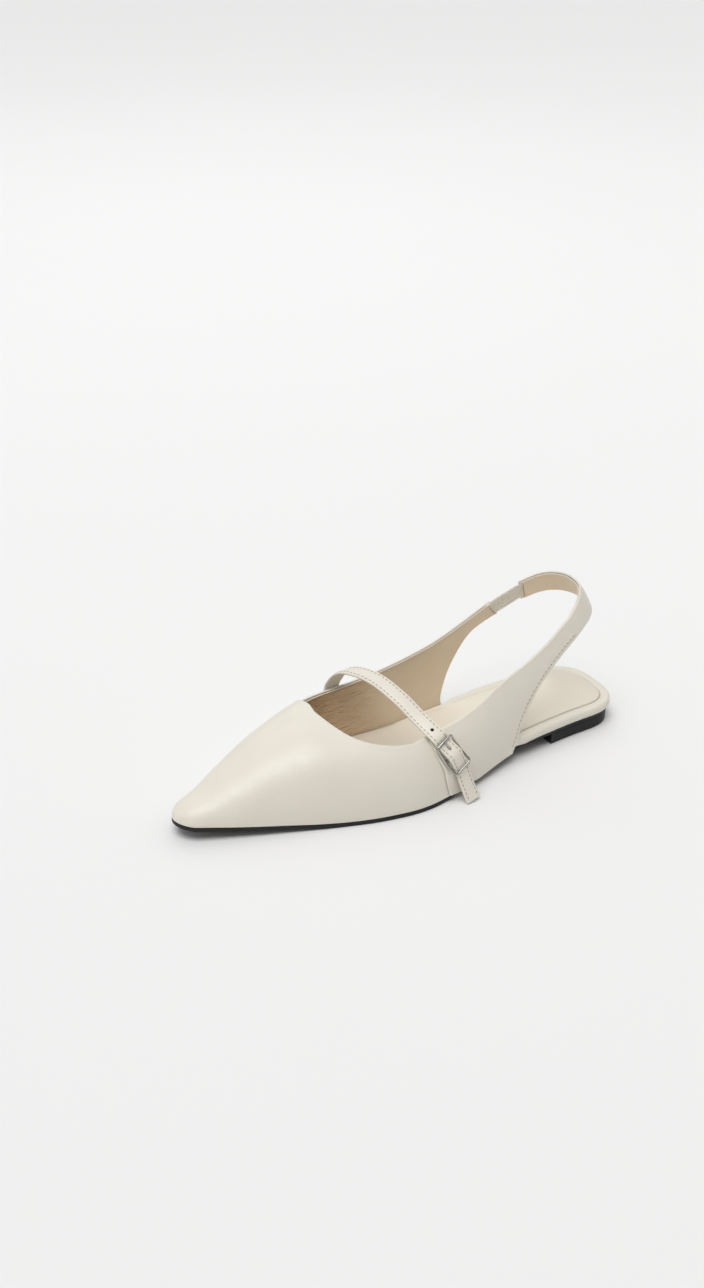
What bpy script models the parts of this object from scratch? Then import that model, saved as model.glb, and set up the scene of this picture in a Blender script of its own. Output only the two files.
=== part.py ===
"""Left pointed-toe flat with a sling strap, an instep strap and a centre-bar buckle.

Metres, +Z up, the toe towards -Y and the outer side of the foot towards +X. The origin is on the floor,
at the middle of the flat underside of the heel. Along the shoe a place is given as its distance from the
back of the heel. Around the shoe it is given as a signed reach: the distance from the back of the heel,
positive on the outer (lateral) side and negative on the inner (medial) side.
"""
import math
from bisect import bisect_right
from collections import namedtuple

import bmesh
import bpy
from mathutils import Vector

# Overall sizes
LENGTH = 0.268
BALL_WIDTH = 0.078
WAIST_WIDTH = 0.058
HEEL_WIDTH = 0.053
TOE_TIP = 0.0156
TOE_CAP = 0.0075
NOSE_CAP = 0.0120
NOSE_INSET = 0.0012
HEEL_FAN = 0.040
HEEL_TURN = 0.026
HEEL_SQUARE = 2.8
STRAP_TURN = 0.047
STRAP_SQUARE = 2.2

# Heights
VAMP_RISE = 0.0435
TOE_RISE = 0.0084
ANKLE_RISE = 0.0900
TOPLINE_HEIGHT = 0.0380
SLING_HEIGHT = 0.0780
BACK_LEAN = 0.0100
LEAN_CURVE = 0.4
CROWN_SHIFT = 0.0080

# Sole and heel
SOLE_THICKNESS = 0.0024
SOLE_EDGE = 0.0005
HEEL_HEIGHT = 0.0068
HEEL_LENGTH = 0.052
HEEL_INSET = 0.0003
HEEL_EDGE = 0.0006
TOE_SPRING = 0.0070
WAIST_INSET = 0.0030
WAIST_DROP = 0.0016

# Footbed and sock
RIM_HEIGHT = 0.0048
RIM_WIDTH = 0.0056
RIM_ROUND = 0.0014
BOARD_THICKNESS = 0.0026
SOCK_MARGIN = 0.0012
SOCK_THICKNESS = 0.0014
SOCK_DEPTH = 0.0010
SOCK_EDGE = 0.0004
SOCK_CROWN = 0.0006
SOCK_SLOPE = 0.0070

# Leather and elastic
WALL = 0.0016
GAP = 0.0003
ELASTIC_WIDTH = 0.0114
ELASTIC_THICKNESS = 0.0012
STRAP_WIDTH = 0.0090
STRAP_THICKNESS = 0.0014
STRAP_EDGE = 0.0003
STRAP_RISE = 0.0158
STRAP_LEAVES = 1.10
TAB_WIDTH = 0.0084
TAB_THICKNESS = 0.0009
TAB_RETURN = 0.0038
TAB_FLARE = 0.0044
TAB_FLARE_SPAN = 0.96
TAB_TOP = 0.93
TAB_PROUD = 0.0003
TAIL_LENGTH = 0.0200
TAIL_CURL = 0.0028
TAIL_HANG = 0.55

# Buckle
BAR_RADIUS = 0.00065
BUCKLE_LENGTH = 0.0198
BUCKLE_WIDTH = 0.0128
BUCKLE_CORNER = 0.0015
BUCKLE_ARCH = 0.0015
PRONG_RADIUS = 0.0005
HOLE_RADIUS = 0.0010
HOLE_STEP = 0.0084

# Where things sit, as shares of the length
CUT_LATERAL = 0.300
CUT_MEDIAL = 0.330
TUCK_LATERAL = 0.284
TUCK_MEDIAL = 0.328
THROAT_LATERAL = 0.545
THROAT_MEDIAL = 0.686
STRAP_MEDIAL_AT = 0.590
BUCKLE_AT = 0.477
BUCKLE_UP = 0.0264
BUCKLE_LEAN = 0.58
TAB_AT = 0.470

# One row for each section of the last: its place as a share of the length, the half widths at the feather
# edge, the height of its crown over that edge, the crown's shift to the inner side, and how square each
# half of the section is.
Section = namedtuple("Section", "at lateral medial lateral_crown medial_crown shift lateral_full medial_full")
SECTIONS = (
    Section(0.000, 0.480 * HEEL_WIDTH, 0.500 * HEEL_WIDTH, 1.00 * ANKLE_RISE, 1.00 * ANKLE_RISE, 0.00, 2.8, 2.8),
    Section(0.105, 0.490 * HEEL_WIDTH, 0.500 * HEEL_WIDTH, 1.00 * ANKLE_RISE, 1.00 * ANKLE_RISE, 0.00, 2.7, 2.8),
    Section(0.200, 0.530 * HEEL_WIDTH, 0.510 * HEEL_WIDTH, 0.90 * ANKLE_RISE, 0.92 * ANKLE_RISE, 0.05, 2.6, 3.1),
    Section(0.300, 0.548 * WAIST_WIDTH, 0.452 * WAIST_WIDTH, 0.74 * ANKLE_RISE, 0.86 * ANKLE_RISE, 0.35, 2.6, 3.3),
    Section(0.410, 0.513 * BALL_WIDTH, 0.356 * BALL_WIDTH, 1.14 * VAMP_RISE, 1.56 * VAMP_RISE, 0.75, 2.6, 3.4),
    Section(0.480, 0.567 * BALL_WIDTH, 0.379 * BALL_WIDTH, 1.01 * VAMP_RISE, 1.44 * VAMP_RISE, 0.95, 2.6, 3.3),
    Section(0.550, 0.590 * BALL_WIDTH, 0.400 * BALL_WIDTH, 0.98 * VAMP_RISE, 1.30 * VAMP_RISE, 1.00, 2.65, 3.2),
    Section(0.620, 0.559 * BALL_WIDTH, 0.413 * BALL_WIDTH, 0.99 * VAMP_RISE, 1.14 * VAMP_RISE, 1.00, 2.70, 3.2),
    Section(0.710, 0.472 * BALL_WIDTH, 0.392 * BALL_WIDTH, 0.97 * VAMP_RISE, 0.97 * VAMP_RISE, 0.90, 2.65, 3.0),
    Section(0.800, 0.367 * BALL_WIDTH, 0.326 * BALL_WIDTH, 0.78 * VAMP_RISE, 0.78 * VAMP_RISE, 0.62, 2.50, 2.6),
    Section(0.890, 0.256 * BALL_WIDTH, 0.231 * BALL_WIDTH, 0.47 * VAMP_RISE, 0.47 * VAMP_RISE, 0.30, 2.35, 2.4),
    Section(0.955, 0.169 * BALL_WIDTH, 0.148 * BALL_WIDTH, 1.22 * TOE_RISE, 1.20 * TOE_RISE, 0.10, 2.25, 2.15),
    Section(1.000, 0.540 * TOE_TIP, 0.460 * TOE_TIP, 0.86 * TOE_RISE, 0.84 * TOE_RISE, 0.00, 2.20, 2.10),
)

# The underside of the sole, how far its edge is set in, how far the upper drops over that edge, and how
# much of the footbed's rim stands up. The last three are shares of the waist's inset and drop and the rim.
Profile = namedtuple("Profile", "at under inset drop rim")
PROFILE = (
    Profile(0.000, 1.00 * HEEL_HEIGHT, 0.5, 0.0, 1.0),
    Profile(0.200, 1.00 * HEEL_HEIGHT, 0.5, 0.0, 1.0),
    Profile(0.250, 0.96 * HEEL_HEIGHT, 0.7, 0.0, 1.0),
    Profile(0.290, 0.87 * HEEL_HEIGHT, 1.0, 1.0, 1.0),
    Profile(0.400, 0.48 * HEEL_HEIGHT, 1.0, 1.0, 0.6),
    Profile(0.440, 0.26 * HEEL_HEIGHT, 0.65, 0.0, 0.4),
    Profile(0.470, 0.14 * HEEL_HEIGHT, 0.25, 0.0, 0.2),
    Profile(0.530, 0.0, 0.0, 0.0, 0.0),
    Profile(0.680, 0.0, 0.0, 0.0, 0.0),
    Profile(0.740, 0.10 * TOE_SPRING, 0.0, 0.0, 0.0),
    Profile(0.810, 0.33 * TOE_SPRING, 0.0, 0.0, 0.0),
    Profile(0.890, 0.59 * TOE_SPRING, 0.0, 0.0, 0.0),
    Profile(1.000, 1.00 * TOE_SPRING, 0.0, 0.0, 0.0),
)

# The edges of the upper behind the throat. Each row is one rib across the leather: the reach and height of
# its lower end and of its upper end. A lower height of None is the feather edge.
Rib = namedtuple("Rib", "low_at low_z high_at high_z")
LATERAL_RIBS = (
    Rib(0.560 * LENGTH, None, THROAT_LATERAL * LENGTH, 0.935 * TOPLINE_HEIGHT),
    Rib(0.480 * LENGTH, None, 0.490 * LENGTH, 0.980 * TOPLINE_HEIGHT),
    Rib(0.390 * LENGTH, None, 0.430 * LENGTH, 1.058 * TOPLINE_HEIGHT),
    Rib(CUT_LATERAL * LENGTH, None, 0.378 * LENGTH, 0.568 * SLING_HEIGHT),
    Rib(0.288 * LENGTH, 0.180 * SLING_HEIGHT, 0.345 * LENGTH, 0.620 * SLING_HEIGHT),
    Rib(0.276 * LENGTH, 0.300 * SLING_HEIGHT, 0.312 * LENGTH, 0.665 * SLING_HEIGHT),
    Rib(0.252 * LENGTH, 0.440 * SLING_HEIGHT, 0.276 * LENGTH, 0.713 * SLING_HEIGHT),
    Rib(0.222 * LENGTH, 0.562 * SLING_HEIGHT, 0.242 * LENGTH, 0.765 * SLING_HEIGHT),
    Rib(0.182 * LENGTH, 0.680 * SLING_HEIGHT, 0.202 * LENGTH, 0.838 * SLING_HEIGHT),
    Rib(0.142 * LENGTH, 0.782 * SLING_HEIGHT, 0.160 * LENGTH, 0.935 * SLING_HEIGHT),
    Rib(0.104 * LENGTH, 0.860 * SLING_HEIGHT, 0.116 * LENGTH, 1.030 * SLING_HEIGHT),
    Rib(0.055 * LENGTH, 0.905 * SLING_HEIGHT, 0.062 * LENGTH, 1.092 * SLING_HEIGHT),
    Rib(0.000 * LENGTH, 0.920 * SLING_HEIGHT, 0.000 * LENGTH, 1.104 * SLING_HEIGHT),
    Rib(-0.055 * LENGTH, 0.912 * SLING_HEIGHT, -0.060 * LENGTH, 1.092 * SLING_HEIGHT),
    Rib(-0.105 * LENGTH, 0.888 * SLING_HEIGHT, -0.113 * LENGTH, 1.068 * SLING_HEIGHT),
    Rib(-0.150 * LENGTH, 0.848 * SLING_HEIGHT, -0.168 * LENGTH, 1.022 * SLING_HEIGHT),
)
MEDIAL_RIBS = (
    Rib(-0.686 * LENGTH, None, -THROAT_MEDIAL * LENGTH, 1.045 * TOPLINE_HEIGHT),
    Rib(-0.590 * LENGTH, None, -0.600 * LENGTH, 1.055 * TOPLINE_HEIGHT),
    Rib(-0.500 * LENGTH, None, -0.515 * LENGTH, 1.115 * TOPLINE_HEIGHT),
    Rib(-0.410 * LENGTH, None, -0.450 * LENGTH, 1.215 * TOPLINE_HEIGHT),
    Rib(-CUT_MEDIAL * LENGTH, None, -0.402 * LENGTH, 1.318 * TOPLINE_HEIGHT),
    Rib(-0.338 * LENGTH, 0.190 * SLING_HEIGHT, -0.378 * LENGTH, 0.668 * SLING_HEIGHT),
    Rib(-0.329 * LENGTH, 0.350 * SLING_HEIGHT, -0.355 * LENGTH, 0.700 * SLING_HEIGHT),
    Rib(-0.305 * LENGTH, 0.540 * SLING_HEIGHT, -0.325 * LENGTH, 0.750 * SLING_HEIGHT),
    Rib(-0.272 * LENGTH, 0.690 * SLING_HEIGHT, -0.290 * LENGTH, 0.812 * SLING_HEIGHT),
    Rib(-0.205 * LENGTH, 0.790 * SLING_HEIGHT, -0.233 * LENGTH, 0.908 * SLING_HEIGHT),
)
STRAP_END = LATERAL_RIBS[-1]
QUARTER_END = MEDIAL_RIBS[-1]

# The instep strap between its two sides: how far across, and how much of its rise it has there
Arch = namedtuple("Arch", "across rise")
STRAP_ARCH = (Arch(0.10, 0.66), Arch(0.25, 0.95), Arch(0.44, 0.98), Arch(0.65, 0.71), Arch(0.82, 0.34))
STRAP_LANDS = 0.45
TAIL_SHARES = (0.3, 0.65, 1.0)

# The tab's end past the centre bar, as shares of its return and of the loop round the bar
TabEnd = namedtuple("TabEnd", "down out")
TAB_ENDS = (TabEnd(0.42, 0.80), TabEnd(0.79, 0.15))

# The prong: where its curl round the centre bar starts and how far it turns, in degrees
CURL_START = -70
CURL_TURN = -200

# How the throat's edge leaves the outer topline, and how soon it turns straight across
THROAT_TURN = 1.7
THROAT_SWEEP = 3.2

# Mesh steps
SMALL_STEP = 0.0005
MERGE = 0.00001
FEATHER_NEAR = 0.0001
SIDE_STEPS = 7
TOP_STEPS = 9
VAMP_STEPS = 16
ROWS_PER_RIB = 3
OUTLINE_STEPS = 26
HEEL_STEPS = 9
STRAP_STEPS = 4
WALL_KNOTS = 5
ELASTIC_STEPS = 8
TUBE_SIDES = 8
CORNER_STEPS = 4
SIDE_BAR_STEPS = 4
TURN_STEPS = 10
TAB_STEPS = 8

# Colours, roughness and metallic value of each sub-part
LEATHER = ((0.77, 0.74, 0.66), 0.42, 0.0)
SOCK_LEATHER = ((0.70, 0.65, 0.54), 0.55, 0.0)
SOLE_BLACK = ((0.016, 0.016, 0.017), 0.45, 0.0)
ELASTIC_CLOTH = ((0.66, 0.63, 0.55), 0.80, 0.0)
BUCKLE_METAL = ((0.62, 0.62, 0.60), 0.25, 1.0)


def place(x, reach, z):
    """World position of a point given across, from the back of the heel, and up."""
    return Vector((x, HEEL_LENGTH / 2 - reach, z))


def along(table, at, column):
    """Reads a column of a table through a smooth curve that neither overshoots nor bends a flat run."""
    stations = [row[0] for row in table]
    values = [getattr(row, column) for row in table]
    if at <= stations[0]:
        return values[0]
    if at >= stations[-1]:
        return values[-1]
    slopes = [(values[i + 1] - values[i]) / (stations[i + 1] - stations[i]) for i in range(len(values) - 1)]

    def tangent(i):
        if i == 0:
            return slopes[0]
        if i == len(values) - 1:
            return slopes[-1]
        before, after = slopes[i - 1], slopes[i]
        return 0.0 if before * after <= 0 else 2 * before * after / (before + after)

    i = bisect_right(stations, at) - 1
    step = stations[i + 1] - stations[i]
    t = (at - stations[i]) / step
    start = (1 + 2 * t) * (1 - t) ** 2 * values[i] + t * (1 - t) ** 2 * step * tangent(i)
    end = t * t * (3 - 2 * t) * values[i + 1] - t * t * (1 - t) * step * tangent(i + 1)
    return start + end


def cap(distance, depth, power):
    """The share of full width left at a distance past the start of a rounded end."""
    return max(0.0, 1 - max(0.0, distance / depth) ** power) ** (1 / power)


def sole_under(station):
    return along(PROFILE, station / LENGTH, "under")


def sole_top(station):
    return sole_under(station) + SOLE_THICKNESS


def feather_height(station):
    """Height of the upper's lower edge."""
    return sole_top(station) + GAP - WAIST_DROP * along(PROFILE, station / LENGTH, "drop")


def half_width(station, side, rise=0.0):
    """Half width of the outline at the feather, or of the heel's rounder shape at a share of its height."""
    column = "lateral" if side > 0 else "medial"
    width = along(SECTIONS, station / LENGTH, column)
    turn = HEEL_TURN + (STRAP_TURN - HEEL_TURN) * rise
    heel = cap(turn - station, turn, HEEL_SQUARE + (STRAP_SQUARE - HEEL_SQUARE) * rise)
    toe = cap(station - (LENGTH - TOE_CAP), TOE_CAP, 2)
    return width * heel * toe


def station_of(reach):
    """Distance from the back of the heel of the outline's point at a reach."""
    around = abs(reach)
    if around >= HEEL_FAN:
        return around
    return HEEL_FAN * (1 - math.cos(math.pi / 2 * around / HEEL_FAN))


def last_point(reach, height=None, angle=None):
    """A point on the outside of the last: x, station and z, at a height or at an angle up its section."""
    side = 1 if reach >= 0 else -1
    station = station_of(reach)
    foot_z = feather_height(station)
    centre = max(station, HEEL_FAN)
    share = centre / LENGTH
    crown_z = along(SECTIONS, share, "lateral_crown" if side > 0 else "medial_crown")
    crown_z *= cap(station - (LENGTH - NOSE_CAP), NOSE_CAP, 2)
    crown_x = -CROWN_SHIFT * along(SECTIONS, share, "shift")
    back = (centre - station) / HEEL_FAN
    full = along(SECTIONS, share, "lateral_full" if side > 0 else "medial_full")
    if back > 0:
        full += (SECTIONS[0].lateral_full - full) * back
    if angle is None:
        rise = min(1.0, max(0.0, (height - foot_z) / crown_z))
        spread = (1 - rise ** full) ** (1 / full)
    else:
        rise = math.sin(angle) ** (2 / full)
        spread = max(0.0, math.cos(angle)) ** (2 / full)
    foot_x = side * half_width(station, side, rise)
    x = crown_x + (foot_x - crown_x) * spread
    along_shoe = centre + (station - centre) * spread + BACK_LEAN * back * rise ** LEAN_CURVE
    return Vector((x, along_shoe, foot_z + rise * crown_z))


def on_last(reach, height, lift=0.0):
    """World position on the outside of the last, lifted off it."""
    return place(*last_point(reach, height)) + lift * outward(reach, height)


def forward(reach, height):
    """World direction along the last, pointing to the toe."""
    ahead = place(*last_point(reach + SMALL_STEP, height)) - place(*last_point(reach - SMALL_STEP, height))
    return ahead.normalized() if ahead.y < 0 else -ahead.normalized()


def outward(reach, height):
    """World direction square to the last, pointing out."""
    upward = place(*last_point(reach, height + SMALL_STEP)) - place(*last_point(reach, height - SMALL_STEP))
    normal = forward(reach, height).cross(upward).normalized()
    middle = place(0.0, max(station_of(reach), HEEL_FAN), height)
    return normal if normal.dot(place(*last_point(reach, height)) - middle) > 0 else -normal


def finish(name, mesh, style, smooth_angle=40):
    """Adds a mesh to the scene as a named, shaded sub-part with its own material."""
    colour, roughness, metallic = style
    for polygon in mesh.polygons:
        polygon.use_smooth = True
    mesh.set_sharp_from_angle(angle=math.radians(smooth_angle))
    material = bpy.data.materials.new(name)
    material.use_nodes = True
    shader = material.node_tree.nodes["Principled BSDF"]
    shader.inputs["Base Color"].default_value = (*colour, 1)
    shader.inputs["Roughness"].default_value = roughness
    shader.inputs["Metallic"].default_value = metallic
    mesh.materials.append(material)
    part = bpy.data.objects.new(name, mesh)
    bpy.context.scene.collection.objects.link(part)
    return part


def mesh_from(name, points, faces):
    """A mesh with its doubled points joined and its faces turned outwards."""
    mesh = bpy.data.meshes.new(name)
    build = bmesh.new()
    corners = [build.verts.new(point) for point in points]
    for face in faces:
        build.faces.new([corners[i] for i in face])
    bmesh.ops.remove_doubles(build, verts=build.verts, dist=MERGE)
    bmesh.ops.recalc_face_normals(build, faces=build.faces)
    build.to_mesh(mesh)
    build.free()
    return mesh


def bridge(first, second, closed=False):
    """Quads between two equal rows of point numbers."""
    count = len(first)
    steps = count if closed else count - 1
    return [(first[i], first[(i + 1) % count], second[(i + 1) % count], second[i]) for i in range(steps)]


def spread_ribs(ribs, rows):
    """Adds ribs between those of a table, along smooth edges, with the feather's corner kept sharp."""
    corner = sum(rib.low_z is None for rib in ribs) - 1
    Point = namedtuple("Point", "at low_at low_z high_at high_z")
    table = []
    for i, rib in enumerate(ribs):
        low_z = feather_height(station_of(rib.low_at)) if rib.low_z is None else rib.low_z
        table.append(Point(i, rib.low_at, low_z, rib.high_at, rib.high_z))
    before, after = table[:corner + 1], table[corner:]
    result = []
    for step in range((len(table) - 1) * rows + 1):
        at = step / rows
        low = before if at <= corner else after
        low_at = along(low, at, "low_at")
        low_z = feather_height(station_of(low_at)) if at <= corner else along(low, at, "low_z")
        result.append(Rib(low_at, low_z, along(table, at, "high_at"), along(table, at, "high_z")))
    return result


def rib_points(rib):
    """Points from the lower to the upper end of a rib, on the last."""
    points = []
    for step in range(SIDE_STEPS + 1):
        share = step / SIDE_STEPS
        reach = rib.low_at + (rib.high_at - rib.low_at) * share
        points.append(last_point(reach, rib.low_z + (rib.high_z - rib.low_z) * share))
    return points


def throat_angle(rib, share):
    """The angle up the last's section that a point on a rib has."""
    reach = rib.low_at + (rib.high_at - rib.low_at) * share
    height = rib.low_z + (rib.high_z - rib.low_z) * share
    side = "lateral" if reach > 0 else "medial"
    station = station_of(reach)
    full = along(SECTIONS, station / LENGTH, side + "_full")
    crown = along(SECTIONS, station / LENGTH, side + "_crown")
    rise = (height - feather_height(station)) / crown
    return math.asin(min(1.0, max(0.0, rise) ** (full / 2)))


def throat_columns(lateral, medial):
    """The columns of the vamp: side, angle up the section, and station at the throat."""
    columns = []
    for step in range(SIDE_STEPS + 1):
        share = step / SIDE_STEPS
        station = lateral.low_at + (lateral.high_at - lateral.low_at) * share
        columns.append((1, throat_angle(lateral, share), station))
    start, end = columns[-1], (-1, throat_angle(medial, 1.0), -medial.high_at)
    turn = math.pi - end[1]
    for step in range(1, TOP_STEPS):
        share = step / TOP_STEPS
        angle = start[1] + (turn - start[1]) * share ** THROAT_TURN
        station = start[2] + (end[2] - start[2]) * (1 - (1 - share) ** THROAT_SWEEP)
        columns.append((1, angle, station) if angle <= math.pi / 2 else (-1, math.pi - angle, station))
    for step in range(SIDE_STEPS, -1, -1):
        share = step / SIDE_STEPS
        station = -(medial.low_at + (medial.high_at - medial.low_at) * share)
        columns.append((-1, throat_angle(medial, share), station))
    return columns


def upper_surface():
    """The upper's outside: the vamp, both quarters and the strap round the heel."""
    lateral = spread_ribs(LATERAL_RIBS, ROWS_PER_RIB)
    medial = spread_ribs(MEDIAL_RIBS, ROWS_PER_RIB)
    columns = throat_columns(lateral[0], medial[0])
    points = []
    faces = []

    def add_row(row):
        first = len(points)
        points.extend(place(*point) for point in row)
        return list(range(first, first + len(row)))

    rows = []
    for step in range(VAMP_STEPS + 1):
        share = math.sin(math.pi / 2 * step / VAMP_STEPS)
        row = []
        for side, angle, station in columns:
            here = station + (LENGTH - station) * share
            row.append(last_point(side * here, angle=angle))
        rows.append(add_row(row))
    for first, second in zip(rows, rows[1:]):
        faces.extend(bridge(first, second))
    for ribs in (lateral, medial):
        lines = [add_row(rib_points(rib)) for rib in ribs]
        for first, second in zip(lines, lines[1:]):
            faces.extend(bridge(first, second))
    return points, faces


def thicken(build, thickness, grounded):
    """Closes an open sheet into a wall of even thickness, laid inside it."""
    build.normal_update()
    edges = [edge for edge in build.edges if edge.is_boundary]
    outside = list(build.faces)
    inner = {}
    for vert in list(build.verts):
        normal = vert.normal.copy()
        if grounded(vert.co):
            normal.z = 0.0
            normal.normalize()
        inner[vert] = build.verts.new(vert.co - thickness * normal)
    for face in outside:
        build.faces.new([inner[vert] for vert in reversed(face.verts)])
    for edge in edges:
        first, second = edge.verts
        build.faces.new((first, second, inner[second], inner[first]))


def make_upper():
    points, faces = upper_surface()
    build = bmesh.new()
    corners = [build.verts.new(point) for point in points]
    for face in faces:
        build.faces.new([corners[i] for i in face])
    bmesh.ops.remove_doubles(build, verts=build.verts, dist=MERGE)
    bmesh.ops.dissolve_degenerate(build, dist=MERGE, edges=build.edges)
    bmesh.ops.recalc_face_normals(build, faces=build.faces)
    if sum(face.normal.z * face.calc_area() for face in build.faces) < 0:
        bmesh.ops.reverse_faces(build, faces=build.faces)

    def grounded(point):
        return point.z < feather_height(HEEL_LENGTH / 2 - point.y) + FEATHER_NEAR

    thicken(build, WALL, grounded)
    bmesh.ops.recalc_face_normals(build, faces=build.faces)
    mesh = bpy.data.meshes.new("upper")
    build.to_mesh(mesh)
    build.free()
    return finish("upper", mesh, LEATHER)


def rounded_steps(length, count):
    """Stations from one end to the other, closer together near both ends."""
    return [length * (1 - math.cos(math.pi * step / count)) / 2 for step in range(count + 1)]


def full_stations():
    """The outline's stations, with those on both sides of where the upper is cut away."""
    cuts = [tuck * LENGTH - back for tuck in (TUCK_LATERAL, TUCK_MEDIAL) for back in (0.0, 2 * WALL)]
    plain = [at for at in rounded_steps(LENGTH, OUTLINE_STEPS) if all(abs(at - cut) > WALL for cut in cuts)]
    return sorted(plain + cuts)


def outline_loop(stations, inset, breast=False):
    """Plan points around stations from the heel, set in from the outline, up to the toe or to a breast."""
    back = stations[:0:-1] if breast else stations[-2:0:-1]
    loop = [(1, station) for station in stations] + [(-1, station) for station in back]
    plan = [Vector((side * half_width(station, side), station)) for side, station in loop]
    points = []
    for i, (side, station) in enumerate(loop):
        before, after = plan[i - 1], plan[(i + 1) % len(plan)]
        if breast and station == stations[-1]:
            before, after = (before, plan[i]) if side > 0 else (plan[i], after)
        tangent = (after - before).normalized()
        depth = inset(side * station)
        point = plan[i] - Vector((tangent.y, -tangent.x)) * depth
        if breast and station == stations[-1]:
            point.y = station - depth
        points.append(point)
    return points


def slab(name, rings, style, stations, breast=False):
    """A closed plate from rings of (inset, height), from its bottom out and up to its top."""
    points = []
    faces = []
    loops = []
    for inset, height in rings:
        loop = outline_loop(stations, inset, breast)
        first = len(points)
        points.extend(place(point.x, point.y, height(point.y)) for point in loop)
        loops.append(list(range(first, first + len(loop))))
    for first, second in zip(loops, loops[1:]):
        faces.extend(bridge(first, second, closed=True))
    faces.extend(fill_across(loops[0]) + fill_across(loops[-1]))
    return finish(name, mesh_from(name, points, faces), style)


def fill_across(loop):
    """Faces from side to side of a loop that starts at the back of the heel."""
    last = (len(loop) - 1) // 2
    faces = [(loop[0], loop[1], loop[-1])]
    for i in range(1, last):
        faces.append((loop[i], loop[i + 1], loop[-i - 1], loop[-i]))
    if len(loop) % 2 == 0:
        faces.append((loop[last], loop[last + 1], loop[last + 2]))
    return faces


def sole_inset(reach):
    return WAIST_INSET * along(PROFILE, abs(reach) / LENGTH, "inset")


def set_in(inset, more):
    return lambda reach: inset(reach) + more


def raised(height, more):
    return lambda station: height(station) + more


def make_outsole():
    rings = (
        (set_in(sole_inset, SOLE_EDGE), sole_under),
        (sole_inset, raised(sole_under, SOLE_EDGE)),
        (sole_inset, sole_top),
    )
    slab("outsole", rings, SOLE_BLACK, full_stations())


def make_heel_block():
    side = set_in(sole_inset, HEEL_INSET)
    rings = (
        (set_in(side, HEEL_EDGE), lambda station: 0.0),
        (side, lambda station: HEEL_EDGE),
        (side, lambda station: HEEL_HEIGHT - GAP),
    )
    stations = rounded_steps(2 * HEEL_LENGTH, 2 * HEEL_STEPS)[:HEEL_STEPS + 1]
    slab("heel_block", rings, SOLE_BLACK, stations, breast=True)


def inside_upper(reach):
    """How far the footbed's edge is set in: clear of the upper's wall in front of the cut, none behind it."""
    tuck = (TUCK_LATERAL if reach > 0 else TUCK_MEDIAL) * LENGTH
    share = min(1.0, max(0.0, (abs(reach) - tuck) / (2 * WALL) + 1))
    return (WALL + GAP) * share + nose_inset(reach)


def nose_inset(reach):
    """How much further in the footbed stays where the upper's nose leans over it."""
    return NOSE_INSET * max(0.0, 1 - (LENGTH - abs(reach)) / NOSE_CAP)


def rim_share(station):
    return along(PROFILE, station / LENGTH, "rim")


def footbed_under(station):
    return sole_top(station) + GAP


def footbed_top(station):
    return footbed_under(station) + BOARD_THICKNESS + (RIM_HEIGHT - BOARD_THICKNESS) * rim_share(station)


def sock_edge(reach):
    """How far in from the outline the sock's recess starts."""
    forefoot = WALL + GAP + SOCK_MARGIN + nose_inset(reach)
    return forefoot + (RIM_WIDTH - forefoot) * rim_share(abs(reach))


def make_footbed():
    """The wrapped board: a rounded rim, and inside it the recess for the sock."""
    rings = (
        (set_in(inside_upper, RIM_ROUND), footbed_under),
        (inside_upper, raised(footbed_under, RIM_ROUND / 2)),
        (inside_upper, raised(footbed_top, -RIM_ROUND / 2)),
        (set_in(inside_upper, 0.3 * RIM_ROUND), raised(footbed_top, -0.15 * RIM_ROUND)),
        (set_in(inside_upper, 0.8 * RIM_ROUND), footbed_top),
        (sock_edge, footbed_top),
        (sock_edge, raised(footbed_top, -SOCK_DEPTH)),
    )
    slab("footbed", rings, LEATHER, full_stations())


def make_sock():
    under = raised(footbed_top, GAP - SOCK_DEPTH)
    top = raised(under, SOCK_THICKNESS)
    side = set_in(sock_edge, GAP)
    rings = (
        (side, under),
        (side, raised(top, -SOCK_EDGE)),
        (set_in(side, SOCK_EDGE), top),
        (set_in(side, SOCK_SLOPE), raised(top, SOCK_CROWN)),
    )
    stations = [at for at in full_stations() if at < LENGTH - 2 * TOE_CAP or at == LENGTH]
    slab("insole_sock", rings, SOCK_LEATHER, stations)


def make_elastic():
    """The elastic between the strap's end and the inner quarter's end, inside the leather's thickness."""
    def spot(across, share, lift):
        low = STRAP_END.low_at + (QUARTER_END.low_at - STRAP_END.low_at) * share
        high = STRAP_END.high_at + (QUARTER_END.high_at - STRAP_END.high_at) * share
        low_z = STRAP_END.low_z + (QUARTER_END.low_z - STRAP_END.low_z) * share
        high_z = STRAP_END.high_z + (QUARTER_END.high_z - STRAP_END.high_z) * share
        return on_last(low + (high - low) * across, low_z + (high_z - low_z) * across, lift)

    span = (spot(0.5, 1, 0) - spot(0.5, 0, 0)).length
    points = []
    loops = []
    for step in range(ELASTIC_STEPS + 1):
        share = (GAP + (span - 2 * GAP) * step / ELASTIC_STEPS) / span
        margin = (1 - ELASTIC_WIDTH / (spot(1, share, 0) - spot(0, share, 0)).length) / 2
        depth = (WALL - ELASTIC_THICKNESS) / 2
        first = len(points)
        points.append(spot(margin, share, -depth))
        points.append(spot(1 - margin, share, -depth))
        points.append(spot(1 - margin, share, depth - WALL))
        points.append(spot(margin, share, depth - WALL))
        loops.append(list(range(first, first + 4)))
    faces = [loops[0], loops[-1]]
    for first, second in zip(loops, loops[1:]):
        faces.extend(bridge(first, second, closed=True))
    finish("elastic_gore", mesh_from("elastic_gore", points, faces), ELASTIC_CLOTH)


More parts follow.
